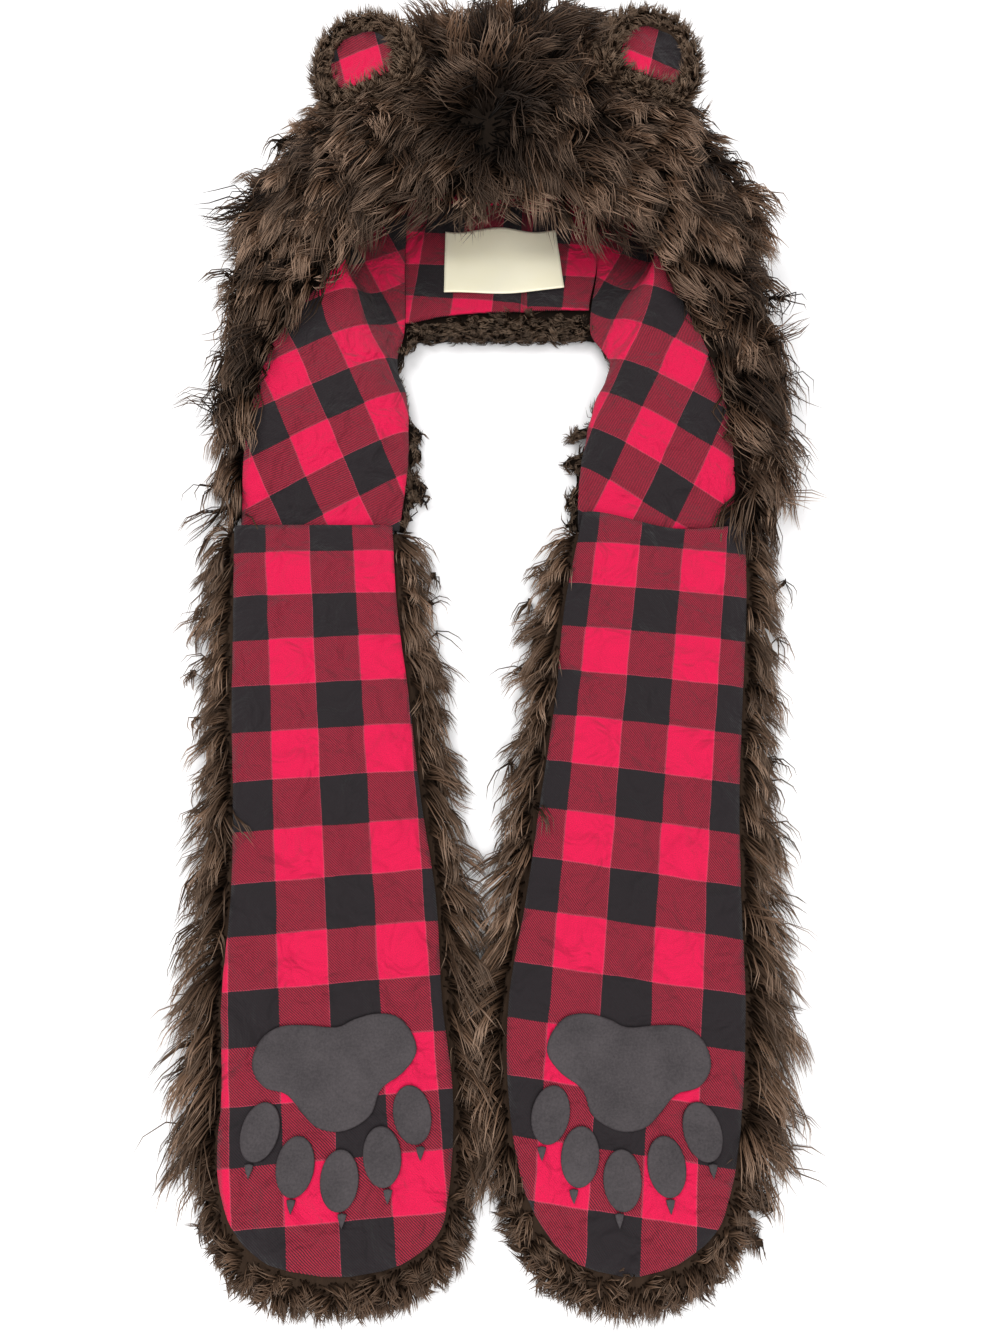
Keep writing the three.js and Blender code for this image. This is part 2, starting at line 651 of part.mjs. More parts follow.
// The whole ear before its patch is let in, grown all round by a clearance.
function earBody(clearance) {
  const outline = offsetOutline(earOutline(EAR_WIDTH, EAR_LENGTH, 16), clearance);
  const rings = [
    [-0.5, 0.82],
    [-0.22, 1],
    [0.22, 1],
    [0.5, 0.84],
  ];
  const height = EAR_THICKNESS + 2 * clearance;
  const points = rings.flatMap(([z, share]) =>
    outline.map((p) => v3(p.x * share, p.y * share, z * height)),
  );
  const triangles = ringWall(rings.length, outline.length);
  const last = (rings.length - 1) * outline.length;
  for (const [a, b, c] of THREE.ShapeUtils.triangulateShape(outline, [])) {
    triangles.push(c, b, a, last + a, last + b, last + c);
  }
  return closedBody(points, triangles);
}

function earFur() {
  const patch = earOutline(EAR_WIDTH * EAR_PATCH, EAR_LENGTH * EAR_PATCH, 12);
  const recess = plate(offsetOutline(patch, GAP), EAR_THICKNESS / 2 - 2 * LINING, OPEN_SKY);
  return geometryOf(solidOf(earBody(0)).subtract(solidOf(recess)));
}

function earPatch() {
  const patch = earOutline(EAR_WIDTH * EAR_PATCH, EAR_LENGTH * EAR_PATCH, 12);
  const low = EAR_THICKNESS / 2 - 2 * LINING + GAP;
  return plate(patch, low, low + LINING);
}

// Where each ear stands on the crown, and which way it faces.
function earGroup(side) {
  const ear = new THREE.Group();
  const x = side === LEFT ? -0.48 : 0.62;
  const y = side === LEFT ? 0.3 : 0.34;
  ear.position.set(x * HALF_WIDTH, y * CROWN_REACH, HOOD_TOP * 0.99);
  ear.rotation.set(0.3, side * 0.2, -side * 0.25);
  ear.updateMatrixWorld(true);
  return ear;
}

function palmShape(side) {
  const points = PALM_POINTS.map((p) => v3(-side * p.x * PALM_WIDTH, p.y * PALM_HEIGHT, 0));
  const curve = new THREE.CatmullRomCurve3(points, true);
  const smooth = curve.getPoints(32).slice(0, -1);
  return smooth.map((p) => new THREE.Vector2(p.x, p.y));
}

function toeShape(turn) {
  const count = 12;
  const angle = THREE.MathUtils.degToRad(turn);
  return Array.from({ length: count }, (_, i) => {
    const a = (2 * Math.PI * i) / count;
    const p = new THREE.Vector2((TOE_WIDTH / 2) * Math.cos(a), (TOE_LENGTH / 2) * Math.sin(a));
    return p.rotateAround(new THREE.Vector2(), angle);
  });
}

const clawShape = () =>
  [
    [-0.5, 0.5],
    [0, -0.5],
    [0.5, 0.5],
    [0, 0.32],
  ].map(([x, y]) => new THREE.Vector2(x * CLAW_WIDTH, y * CLAW_LENGTH));

// Pads and claws lie on the arm's lining.
function addPads(side, name, finish) {
  const low = ARM_FRONT + LINING + GAP;
  const { leftOut, leftIn, rightIn, rightOut } = ARM_ROWS.find((row) => row.at > PALM_AT);
  const middle = side === LEFT ? (leftOut + leftIn) / 2 : (rightIn + rightOut) / 2;
  const x = middle * HALF_WIDTH + side * PALM_SHIFT * PALM_WIDTH;
  const y = armY(PALM_AT, ARM_LENGTH);
  const put = (label, shape, dx, dy) => {
    const pad = plate(shape, low, low + PAD_THICKNESS);
    addPiece(`${name}_${label}`, pad.translate(x + dx, y + dy, 0), finish);
  };
  put("palm_pad", palmShape(side), 0, 0);
  TOE_ROWS.forEach((toe, i) => {
    const dx = -side * toe.x * PALM_WIDTH;
    const dy = toe.y * PALM_HEIGHT;
    const clawX = -side * toe.clawX * PALM_WIDTH;
    const clawY = -(TOE_LENGTH + CLAW_LENGTH) / 2 - GAP;
    put(`toe_pad_${i + 1}`, toeShape(side * toe.turn), dx, dy);
    put(`claw_${i + 1}`, clawShape(), dx + clawX, dy + clawY);
  });
}

const longFur = material(0x2e2019, 0.9);
const shortFur = material(0x443327, 0.9);
const plaid = material(0x9a2340, 0.85);
const cream = material(0xfbf3d6, 0.7);
const padPlastic = material(0x534d4f, 0.6);

const earSolids = [];
for (const [side, name] of [[LEFT, "left"], [RIGHT, "right"]]) {
  const ear = earGroup(side);
  root.add(ear);
  addPiece(`${name}_ear_fur`, earFur(), shortFur, ear);
  addPiece(`${name}_ear_lining`, earPatch(), plaid, ear);
  earSolids.push(solidOf(earBody(GAP).applyMatrix4(ear.matrixWorld)));
}
addPiece("hood_fur", hoodFur(earSolids), longFur);
addPiece("centre_lining", sheet(stripGrid()), plaid);
addPiece("label", labelGeometry(), cream);
for (const [side, name] of [[LEFT, "left"], [RIGHT, "right"]]) {
  addPiece(`${name}_side_lining`, sheet(sideGrid(side), side), plaid);
  addPiece(`${name}_arm_fur`, armFur(side), longFur);
  const front = plate(armOutline(side, 0, 0), ARM_FRONT, ARM_FRONT + LINING);
  addPiece(`${name}_arm_lining`, front, plaid);
  addPads(side, name, padPlastic);
}

export default root;
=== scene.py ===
import json
import math

import bpy
import numpy as np
from mathutils.kdtree import KDTree
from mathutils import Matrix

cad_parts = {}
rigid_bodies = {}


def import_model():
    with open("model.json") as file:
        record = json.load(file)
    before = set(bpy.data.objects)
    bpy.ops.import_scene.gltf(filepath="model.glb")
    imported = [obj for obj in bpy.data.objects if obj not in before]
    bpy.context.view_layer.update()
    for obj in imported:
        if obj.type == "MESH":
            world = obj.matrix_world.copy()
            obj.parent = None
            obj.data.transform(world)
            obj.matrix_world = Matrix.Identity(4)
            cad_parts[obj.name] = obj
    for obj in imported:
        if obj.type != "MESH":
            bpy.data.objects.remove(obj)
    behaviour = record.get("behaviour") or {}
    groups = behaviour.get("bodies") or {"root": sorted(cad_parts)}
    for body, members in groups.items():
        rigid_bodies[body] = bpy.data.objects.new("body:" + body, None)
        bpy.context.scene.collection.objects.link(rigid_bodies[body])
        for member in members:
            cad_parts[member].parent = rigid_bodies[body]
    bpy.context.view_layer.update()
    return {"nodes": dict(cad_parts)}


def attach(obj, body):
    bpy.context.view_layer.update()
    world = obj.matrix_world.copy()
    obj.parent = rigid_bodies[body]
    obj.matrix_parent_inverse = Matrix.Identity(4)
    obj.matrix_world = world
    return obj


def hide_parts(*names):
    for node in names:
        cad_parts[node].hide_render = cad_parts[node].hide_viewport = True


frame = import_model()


# The view. The scarf lies on its back on a pale floor, and the camera stands over its paws'
# end and looks down on it, tipped a little towards the hood.
VIEW_PLACE = (0.00664, -0.52367, 0.542)
VIEW_TILT = math.radians(19.2)
VIEW_LENS = 27.03
view = bpy.data.objects.new("view", bpy.data.cameras.new("view"))
view.location = VIEW_PLACE
view.rotation_euler = (VIEW_TILT, 0, 0)
view.data.sensor_width = 36
view.data.lens = VIEW_LENS
bpy.context.collection.objects.link(view)
bpy.context.scene.camera = view
bpy.context.scene.view_settings.view_transform = "Standard"


# The floor and the light. A matt off-white sheet under a wide soft lamp, with light from all
# round, so that the shadows are faint.
FLOOR_HALF = 3.0
ROOM_COLOUR = (1, 0.99, 0.985, 1)
ROOM_STRENGTH = 0.42


class Wire:
    """The output of a shader node, which adds, multiplies and compares as a number does."""

    def __init__(self, tree, socket):
        self.tree, self.socket = tree, socket

    def node(self, kind, output=0, stops=None, inputs=None, **settings):
        """One of the outputs of a new node of that kind, with its settings, then its inputs."""
        made = self.tree.nodes.new(kind)
        for name, value in settings.items():
            setattr(made, name, value)
        for place, colour in stops or []:
            found = [e for e in made.color_ramp.elements if e.position == place]
            stop = found[0] if found else made.color_ramp.elements.new(place)
            stop.color = (*colour, 1)
        for name, value in (inputs or {}).items():
            if isinstance(value, Wire):
                self.tree.links.new(value.socket, made.inputs[name])
            else:
                made.inputs[name].default_value = value
        return Wire(self.tree, made.outputs[output])

    def maths(self, operation, *values):
        """What a Math node makes of the values."""
        return self.node("ShaderNodeMath", inputs=dict(enumerate(values)), operation=operation)

    def mix(self, low, high):
        """A colour between two, this wire saying how far. A Mix node takes its colours on
        sockets 6 and 7 and gives the mixed one as output 2."""
        low, high = ((*end, 1) if isinstance(end, tuple) else end for end in (low, high))
        inputs = {0: self, 6: low, 7: high}
        return self.node("ShaderNodeMix", 2, inputs=inputs, data_type="RGBA")

    def noise(self, scale, detail=3.0, **settings):
        """Soft noise over the places that this wire gives."""
        inputs = {"Vector": self, "Scale": scale, "Detail": detail, **settings}
        return self.node("ShaderNodeTexNoise", inputs=inputs)

    def __add__(self, other):
        return self.maths("ADD", self, other)

    def __sub__(self, other):
        return self.maths("SUBTRACT", self, other)

    def __rsub__(self, other):
        return self.maths("SUBTRACT", other, self)

    def __mul__(self, other):
        return self.maths("MULTIPLY", self, other)

    def __lt__(self, other):
        return self.maths("LESS_THAN", self, other)

    __radd__ = __add__
    __rmul__ = __mul__


def new_finish(name, roughness, **constants):
    """A new material and a wire of its tree to start from. Constants sit on the shader."""
    finish = bpy.data.materials.new(name)
    finish.use_nodes = True
    shader = finish.node_tree.nodes["Principled BSDF"]
    shader.inputs["Roughness"].default_value = roughness
    for name, value in constants.items():
        shader.inputs[name.replace("_", " ")].default_value = value
    return finish, Wire(finish.node_tree, None)


def wear(finish, colour, height=None, depth=0.0):
    """Links a colour, and a height as bump, to a material's shader."""
    shader = finish.node_tree.nodes["Principled BSDF"]
    finish.node_tree.links.new(colour.socket, shader.inputs["Base Color"])
    if height is not None:
        inputs = {"Height": height, "Strength": 1.0, "Distance": depth}
        bump = height.node("ShaderNodeBump", inputs=inputs)
        finish.node_tree.links.new(bump.socket, shader.inputs["Normal"])
    return finish


floor_finish, start = new_finish("floor", roughness=0.9)
grain = start.node("ShaderNodeTexNoise", inputs={"Scale": 260.0, "Detail": 6.0})
wear(floor_finish, grain.mix((0.86, 0.855, 0.86), (0.93, 0.925, 0.93)), grain, 0.0006)
corners = [(-1, -1), (1, -1), (1, 1), (-1, 1)]
floor_mesh = bpy.data.meshes.new("floor")
floor_mesh.from_pydata([(x * FLOOR_HALF, y * FLOOR_HALF, 0) for x, y in corners], [], [range(4)])
floor_mesh.materials.append(floor_finish)
floor = bpy.data.objects.new("floor", floor_mesh)
bpy.context.collection.objects.link(floor)

world = bpy.data.worlds.new("room")
bpy.context.scene.world = world
world.use_nodes = True
background = world.node_tree.nodes["Background"]
background.inputs["Color"].default_value = ROOM_COLOUR
background.inputs["Strength"].default_value = ROOM_STRENGTH


def add_lamp(name, place, aim, size, power):
    """A square soft lamp at a place, turned to shine at another."""
    lamp = bpy.data.objects.new(name, bpy.data.lights.new(name, "AREA"))
    lamp.data.size, lamp.data.energy = size, power
    lamp.location = place
    away = np.subtract(place, aim)
    lean = math.atan2(math.hypot(away[0], away[1]), away[2])
    lamp.rotation_euler = (lean, 0, math.atan2(away[0], -away[1]))
    bpy.context.collection.objects.link(lamp)


add_lamp("window", (-0.9, 0.3, 2.2), (0, -0.25, 0), size=1.4, power=34)
add_lamp("ceiling", (0.3, -1.5, 2.0), (0, -0.15, 0), size=1.8, power=50)


# The lining of the hood's two sides, each one panel of brushed cotton in a red and black check
# that is cut on the slant. It rises from the centre strip's seam over the wearer's cheek, folds
# back under the brow, and runs down the shoulder as a flat flap that ends at the arm's seam.
LEFT, RIGHT = -1, 1
SIDES = ((LEFT, "left"), (RIGHT, "right"))
HALF_WIDTH = 0.160
CROWN_REACH = 0.102
SEAM_REACH = 0.255
HEAD_ROOM = 0.044
LINING_FLOOR = 0.0131
CLOTH = 0.0016
CHECK = 0.0254

# Each row is one cross section of a side panel, at a place along the hood. Its foot, its two
# pulls and its edge are shares of HALF_WIDTH out from the middle and, with Z, of HEAD_ROOM up.
SIDE_COLUMNS = [
    "at", "foot", "footZ", "low", "lowZ", "high", "highZ", "edge", "edgeZ", "lean", "tuck",
]
SIDE_ROWS = [
    [0.7, 0.27, 0.38, 0.33, 0.38, 0.33, 0.66, 0.27, 0.66, 0.11, 0],
    [0.57, 0.33, 0.1, 0.6, 0.1, 0.6, 0.88, 0.33, 0.88, 0.08, 0],
    [0.3, 0.37, 0, 0.78, 0, 0.78, 0.97, 0.37, 0.97, 0.05, 0],
    [0, 0.39, 0, 0.88, 0, 0.88, 1, 0.39, 1, 0.045, 0],
    [-0.13, 0.39, 0, 0.9, 0, 0.9, 1, 0.39, 1, 0.045, 0],
    [-0.2, 0.39, 0, 0.86, 0, 0.85, 0.97, 0.42, 0.98, 0.045, 0],
    [-0.265, 0.39, 0, 0.76, 0, 0.74, 0.88, 0.5, 0.92, 0.045, 0],
    [-0.33, 0.38, 0, 0.65, 0, 0.6, 0.76, 0.59, 0.82, 0.04, 0],
    [-0.39, 0.37, 0, 0.56, 0, 0.51, 0.66, 0.655, 0.7, 0.034, 0],
    [-0.46, 0.35, 0, 0.47, 0.05, 0.46, 0.54, 0.735, 0.59, 0.012, 0.04],
    [-0.55, 0.36, 0.05, 0.38, 0.27, 0.5, 0.46, 0.81, 0.52, 0, 0.11],
    [-0.65, 0.32, 0.07, 0.34, 0.33, 0.54, 0.4, 0.86, 0.45, 0, 0.1],
    [-0.76, 0.31, 0.06, 0.33, 0.28, 0.56, 0.33, 0.89, 0.37, 0, 0.06],
    [-0.87, 0.31, 0.03, 0.33, 0.14, 0.58, 0.17, 0.905, 0.21, 0, 0.03],
    [-0.95, 0.32, 0.005, 0.35, 0.03, 0.59, 0.04, 0.905, 0.07, 0, 0.01],
    [-1.0, 0.33, 0, 0.36, 0.005, 0.59, 0.01, 0.905, 0.02, 0, 0],
]
BROW_ROW = 5


def hood_y(at):
    """A place along the hood, -1 at the arms' seam and 1 at the crown, in metres."""
    return at * np.where(np.asarray(at) > 0, CROWN_REACH, SEAM_REACH)


def hood_at(y):
    """The inverse of hood_y: -1 at the arms' seam and 1 at the crown, from metres."""
    return np.where(y > 0, y / CROWN_REACH, y / SEAM_REACH)


def columns_at(rows, names, at):
    """Each column of a table at the places asked for. A cubic runs from row to row with the
    slope at a row taken from the rows on both sides of it."""
    table = np.array(sorted(rows), float)
    knots, values = table[:, 0], table[:, 1:]
    slopes = np.gradient(values, knots, axis=0)
    i = np.clip(np.searchsorted(knots, at) - 1, 0, len(knots) - 2)
    step = (knots[i + 1] - knots[i])[:, None]
    t = (np.asarray(at)[:, None] - knots[i][:, None]) / step
    low, high = values[i], values[i + 1]
    rise = t * (1 - t) * ((1 - t) * slopes[i] - t * slopes[i + 1]) * step
    found = low + (high - low) * t * t * (3 - 2 * t) + rise
    return dict(zip(names[1:], found.T))


def side_cloth(side, at, share):
    """Points of a side panel. Each row is a cubic curve from the foot (share 0), which lies by
    the strip, through two pulls to the panel's edge (share 1)."""
    row = {k: v[:, None] for k, v in columns_at(SIDE_ROWS, SIDE_COLUMNS, at).items()}
    tuck = row["tuck"] * (side == RIGHT)
    weights = [(1 - share) ** 3, 3 * share * (1 - share) ** 2, 3 * share**2 * (1 - share), share**3]
    across = [row["foot"] + tuck, row["low"] + tuck, row["high"] + tuck / 2, row["edge"]]
    x = side * sum(w * a for w, a in zip(weights, across)) + row["lean"]
    z = sum(w * row[name + "Z"] for w, name in zip(weights, ("foot", "low", "high", "edge")))
    y = hood_y(at)[:, None] + 0 * share
    return np.stack([x * HALF_WIDTH, y, LINING_FLOOR + z * HEAD_ROOM], -1)


def ripple(x, y, pitch, seed):
    """Smooth unevenness between -1 and 1: four sine waves of about one pitch in directions and
    phases drawn from the seed."""
    draw = np.random.default_rng(seed)
    angles = draw.uniform(0, np.pi, 4)
    phases = draw.uniform(0, 6.3, 4)
    stretches = draw.uniform(0.7, 1.5, 4)
    total = 0.0
    for angle, phase, stretch in zip(angles, phases, stretches):
        along = x * np.cos(angle) + y * np.sin(angle)
        total = total + np.sin(2 * np.pi * along / (pitch * stretch) + phase)
    return total / 4


def surface_normals(grid):
    """Unit normals of a grid of points, from its two directions."""
    normal = np.cross(np.gradient(grid, axis=0), np.gradient(grid, axis=1))
    return normal / np.maximum(np.linalg.norm(normal, axis=-1, keepdims=True), 1e-12)


def lengths_along(grid, axis):
    """How far each point of a grid lies along its row or column."""
    steps = np.linalg.norm(np.diff(grid, axis=axis), axis=-1)
    start = np.zeros_like(np.take(steps, [0], axis=axis))
    return np.concatenate([start, np.cumsum(steps, axis=axis)], axis=axis)


def mesh_piece(name, points, faces, finish, places=None):
    """A smooth closed mesh at the origin. faces has 3 or 4 corners a row, places a spot on the
    piece's own map for each corner. Faces that point inwards on the whole are turned round."""
    a, b, c = (points[faces[:, i]] for i in range(3))
    if np.einsum("ij,ij->", a, np.cross(b, c)) < 0:
        faces = faces[:, ::-1]
        places = None if places is None else places[:, ::-1]
    mesh = bpy.data.meshes.new(name)
    mesh.vertices.add(len(points))
    mesh.vertices.foreach_set("co", points.astype(np.float32).ravel())
    mesh.loops.add(faces.size)
    mesh.loops.foreach_set("vertex_index", faces.astype(np.int32).ravel())
    mesh.polygons.add(len(faces))
    starts = np.arange(0, faces.size, faces.shape[1], dtype=np.int32)
    mesh.polygons.foreach_set("loop_start", starts)
    mesh.update(calc_edges=True)
    if places is not None:
        layer = mesh.uv_layers.new(name="OFBake")
        layer.uv.foreach_set("vector", places.astype(np.float32).ravel())
    mesh.shade_smooth()
    mesh.materials.append(finish)
    piece = bpy.data.objects.new(name, mesh)
    bpy.context.collection.objects.link(piece)
    return piece


def cloth_piece(name, grid, pattern, finish, thickness=CLOTH):
    """A cloth of even thickness: the grid's points moved half of it to both sides along the
    normal, with a rim of faces round the edge. pattern is each point's place on the flat cloth,
    counted in repeats of the check."""
    rows, columns = grid.shape[:2]
    count = rows * columns
    lift = surface_normals(grid) * thickness / 2
    points = np.concatenate([(grid + lift).reshape(-1, 3), (grid - lift).reshape(-1, 3)])
    index = np.arange(count).reshape(rows, columns)
    quads = np.stack([index[:-1, :-1], index[1:, :-1], index[1:, 1:], index[:-1, 1:]], -1)
    quads = quads.reshape(-1, 4)
    ring = np.concatenate([index[:-1, 0], index[-1, :-1], index[:0:-1, -1], index[0, :0:-1]])
    after = np.roll(ring, -1)
    rim = np.stack([after, ring, ring + count, after + count], -1)
    flat = pattern.reshape(-1, 2)
    beyond = np.array([thickness, thickness]) / (2 * CHECK)
    places = [flat[quads], flat[quads[:, ::-1]]]
    places.append(np.stack([flat[after], flat[ring], flat[ring] + beyond, flat[after] + beyond], 1))
    faces = np.concatenate([quads, quads[:, ::-1] + count, rim])
    return mesh_piece(name, points, faces, finish, np.concatenate(places))


def in_repeats(flat, corner, across, down):
    """Places on a cloth, in metres, counted in repeats of two checks from a corner of a red one
    along its two edges."""
    return (flat - corner) @ np.linalg.inv([across, down]) / 2


RED, DEEP_RED = (0.80, 0.006, 0.078), (0.66, 0.004, 0.058)
WINE_DARK, WINE = (0.070, 0.008, 0.015), (0.42, 0.017, 0.045)
INK, INK_LIGHT = (0.006, 0.006, 0.007), (0.018, 0.017, 0.019)
PALE_LINE, DARK_SPECK = (0.75, 0.10, 0.17), (0.03, 0.004, 0.008)
TWILL_LINES = 38
LINE_HALF = 0.007
CREASE_DEPTH = 0.0018


def plaid_finish():
    """Brushed twill in a check of two bands. Red yarns cross red ones, black cross black, and
    where red meets black the two show in turn along slanting lines. A check is half a repeat
    of the map on each side, and thin pale lines of loose yarn run along its edges."""
    finish, start = new_finish("plaid", roughness=0.88, Sheen_Weight=0.06, Specular_IOR_Level=0.25)
    flat = start.node("ShaderNodeUVMap", uv_map="OFBake")
    drift = flat.noise(2.2) - 0.5
    speck = flat.noise(150.0)
    fuzz = flat.noise(55.0, 8.0, Roughness=0.7)
    crease = flat.noise(2.6, Distortion=0.6)
    ragged = (speck - 0.5) * 0.014
    u = start.node("ShaderNodeSeparateXYZ", 0, inputs={"Vector": flat}) + drift * 0.035
    v = start.node("ShaderNodeSeparateXYZ", 1, inputs={"Vector": flat}) - drift * 0.03
    across, down = start.maths("FRACT", u + ragged), start.maths("FRACT", v + ragged)
    warp, weft = across < 0.5, down < 0.5
    slant = (u - v) * TWILL_LINES + (speck - 0.5) * 0.5
    ridge = start.maths("SINE", slant * (2 * math.pi)) * 0.5 + 0.5
    span = {"Value": ridge + (speck - 0.5) * 0.8, "From Min": 0.3, "From Max": 0.85}
    seen = start.node("ShaderNodeMapRange", inputs=span)
    both, either = warp * weft, start.maths("MAXIMUM", warp, weft)
    red = fuzz.mix(DEEP_RED, RED)
    black = fuzz.mix(INK, INK_LIGHT)
    wine = seen.mix(WINE_DARK, WINE)
    colour = either.mix(black, both.mix(wine, red))
    edges = [(place, edge) for place in (across, down) for edge in (0.5, 1 - LINE_HALF)]
    lines = sum(start.maths("COMPARE", place, edge, LINE_HALF) for place, edge in edges)
    colour = (lines * either * (speck < 0.56) * 0.35).mix(colour, PALE_LINE)
    span = {"Value": speck, "From Min": 0.28, "From Max": 0.56, "To Min": 0.45, "To Max": 1.0}
    shade = start.node("ShaderNodeMapRange", inputs=span)
    colour = shade.mix(DARK_SPECK, colour)
    return wear(finish, colour, ridge * 0.1 + fuzz * 0.25 + crease * 7.0, CREASE_DEPTH)


plaid = plaid_finish()
SIDE_STEP = 0.003
SIDE_SHARES = 26
# A corner of a red check on each panel, and the check's two edges from there, in metres.
SIDE_PATTERN = {
    LEFT: {"corner": (-0.1198, -0.2009), "across": (0.0209, 0.0118), "down": (0.0112, -0.0224)},
    RIGHT: {"corner": (0.0954, -0.1806), "across": (0.0190, -0.0128), "down": (-0.0118, -0.0219)},
}


def side_panel(side):
    """A side panel's grid and its places on the flat cloth: across by the length along each
    row from the foot, and down by the distance from the crown."""
    top, bottom = hood_y(SIDE_ROWS[0][0]), -SEAM_REACH
    y = np.linspace(top, bottom, round((top - bottom) / SIDE_STEP))
    share = np.linspace(0, 1, SIDE_SHARES)
    grid = side_cloth(side, hood_at(y), share)
    across = lengths_along(grid, 1) * side + grid[:, :1, 0]
    flat = np.stack([across, grid[..., 1]], -1)
    slack = ripple(flat[..., 0], flat[..., 1], 0.045, 11 + side) * 0.0007
    edge = np.minimum(share, 1 - share)[None, :]
    pucker = np.sin(y / 0.0031 + 2 * ripple(y, 0 * y, 0.03, 5 + side))[:, None] * np.exp(-edge / 0.05)
    grid = grid + surface_normals(grid) * (slack + 0.00035 * pucker)[..., None]
    return grid, flat


for side, name in SIDES:
    grid, flat = side_panel(side)
    piece = cloth_piece(f"{name}_side_cloth", grid, in_repeats(flat, **SIDE_PATTERN[side]), plaid)
    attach(piece, "root")
    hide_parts(f"{name}_side_lining")
    widths = lengths_along(grid, 1)[:, -1]
    width, length = float(widths.max()), float(np.ptp(flat[..., 1]))
    area = length * float(np.mean(widths))


# The centre strip of the lining, one long piece of the same check cut straight. It starts at
# the neck's hem, runs up the back of the head, turns over inside the crown and comes down to
# the brow. The two side panels are sewn to its edges.
SEAM_GAP = 0.0003
STRIP_SHARES = 40
HEM_Y = -0.112
STRIP_PATTERN = {"corner": (-0.0235, 0.0220), "across": (0.0254, -0.0018), "down": (-0.0030, -0.0254)}
# How far the hem's edge curves up towards the crown, at the left and how much more at the right,
# and how far from the edge that fades out. A pleat takes up some of the strip's width.
HEM_LIFT, HEM_LIFT_RIGHT = 0.004, 0.010
HEM_FADE = 0.03
PLEAT_X, PLEAT_TAKE = 0.0215, 0.0318


def strip_rows(at, share):
    """The strip between the two side panels' feet (share 0) or edges (share 1)."""
    left, right = (side_cloth(side, at, np.array([share]))[:, 0] for side in (LEFT, RIGHT))
    across = np.linspace(0, 1, STRIP_SHARES)[None, :, None]
    ends = np.stack([left + [SEAM_GAP, 0, 0], right - [SEAM_GAP, 0, 0]])
    return ends[0][:, None] + (ends[1] - ends[0])[:, None] * across


def strip_grid():
    """The rows from the hem to the crown, a half turn inside the crown, then the rows from
    there to the brow."""
    crown, brow = SIDE_ROWS[0][0] * CROWN_REACH, SIDE_ROWS[BROW_ROW][0] * SEAM_REACH
    up = strip_rows(hood_at(np.linspace(HEM_Y, crown, 46)), 0)
    down = strip_rows(hood_at(np.linspace(crown, brow, 30)), 1)
    turn = np.radians([40, 75, 105, 140])[:, None, None]
    middle, half = (up[-1] + down[0]) / 2, (down[0] - up[-1]) / 2
    bend = middle - half * np.cos(turn) + np.array([0, 1, 0]) * 0.004 * np.sin(turn)
    return np.concatenate([up, bend, down])


grid = strip_grid()
flat = np.stack([grid[..., 0], lengths_along(grid, 0)], -1)
rise = HEM_LIFT + HEM_LIFT_RIGHT * (1 - np.exp(-np.maximum(grid[..., 0] + 0.05, 0) / 0.03))
rise = rise * np.exp(-flat[..., 1] / HEM_FADE)
pleat = 1 / (1 + np.exp((PLEAT_X - grid[..., 0]) / 0.0006))
fold = np.exp(-(((grid[..., 0] - PLEAT_X) / 0.0035) ** 2)) * np.exp(-flat[..., 1] / HEM_FADE)
wave = ripple(flat[..., 0], flat[..., 1], 0.04, 3) * 0.0006 + 0.0012 * fold
grid = grid + surface_normals(grid) * wave[..., None]
grid[..., 1] += rise
pattern = in_repeats(flat + np.stack([pleat * PLEAT_TAKE, rise], -1), **STRIP_PATTERN)
piece = cloth_piece("centre_cloth", grid, pattern, plaid)
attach(piece, "root")
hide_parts("centre_lining")
widths = lengths_along(grid, 1)[:, -1]
width, length = float(widths.max()), float(lengths_along(grid, 0)[-1].mean())
area = length * float(widths.mean())


# The label, a bare rectangle of smooth cream tape cloth, stitched to the back lining just under
# the brow. It lies a little wavy.
LABEL_WIDTH, LABEL_HEIGHT = 0.077, 0.050
LABEL_THICKNESS = 0.0006
LABEL_X, LABEL_AT = 0.058, -0.243

cream, start = new_finish("label_cloth", roughness=0.62, Sheen_Weight=0.1)
spot = start.node("ShaderNodeTexCoord", 3)
cloud = spot.noise(38.0)
weave = start.node("ShaderNodeTexWave", 1, inputs={"Vector": spot, "Scale": 620.0, "Distortion": 1.5})
wear(cream, cloud.mix((1.0, 0.94, 0.66), (1.0, 0.96, 0.77)), weave, 0.00006)

# s runs across the label and t up it, from -1 to 1. Its top edge waves, its right side is pulled
# in at the top and up at the bottom, and it stands a little off the lining in slow waves.
s, t = np.meshgrid(np.linspace(-1, 1, 44), np.linspace(-1, 1, 30))
x = HALF_WIDTH * LABEL_X + s * LABEL_WIDTH / 2
x = x - 0.0045 * np.clip(s, 0, 1) * (1 + t) / 2
dip = 0.0016 * np.sin(4.6 * s + 2.2) * np.clip(t, 0, 1)
y = hood_y(LABEL_AT) + t * LABEL_HEIGHT / 2 + dip + 0.004 * np.clip(s, 0, 1) ** 2 * (1 - t) / 2
z = LINING_FLOOR + CLOTH / 2 + 0.0016 + 0.0007 * np.sin(4.1 * s + 1.3 * t) + 0.0004 * np.cos(5 * t)
grid = np.stack([x, y, z], -1)
piece = cloth_piece("label_cloth", grid, np.stack([s, t], -1), cream, LABEL_THICKNESS)
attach(piece, "root")
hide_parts("label")


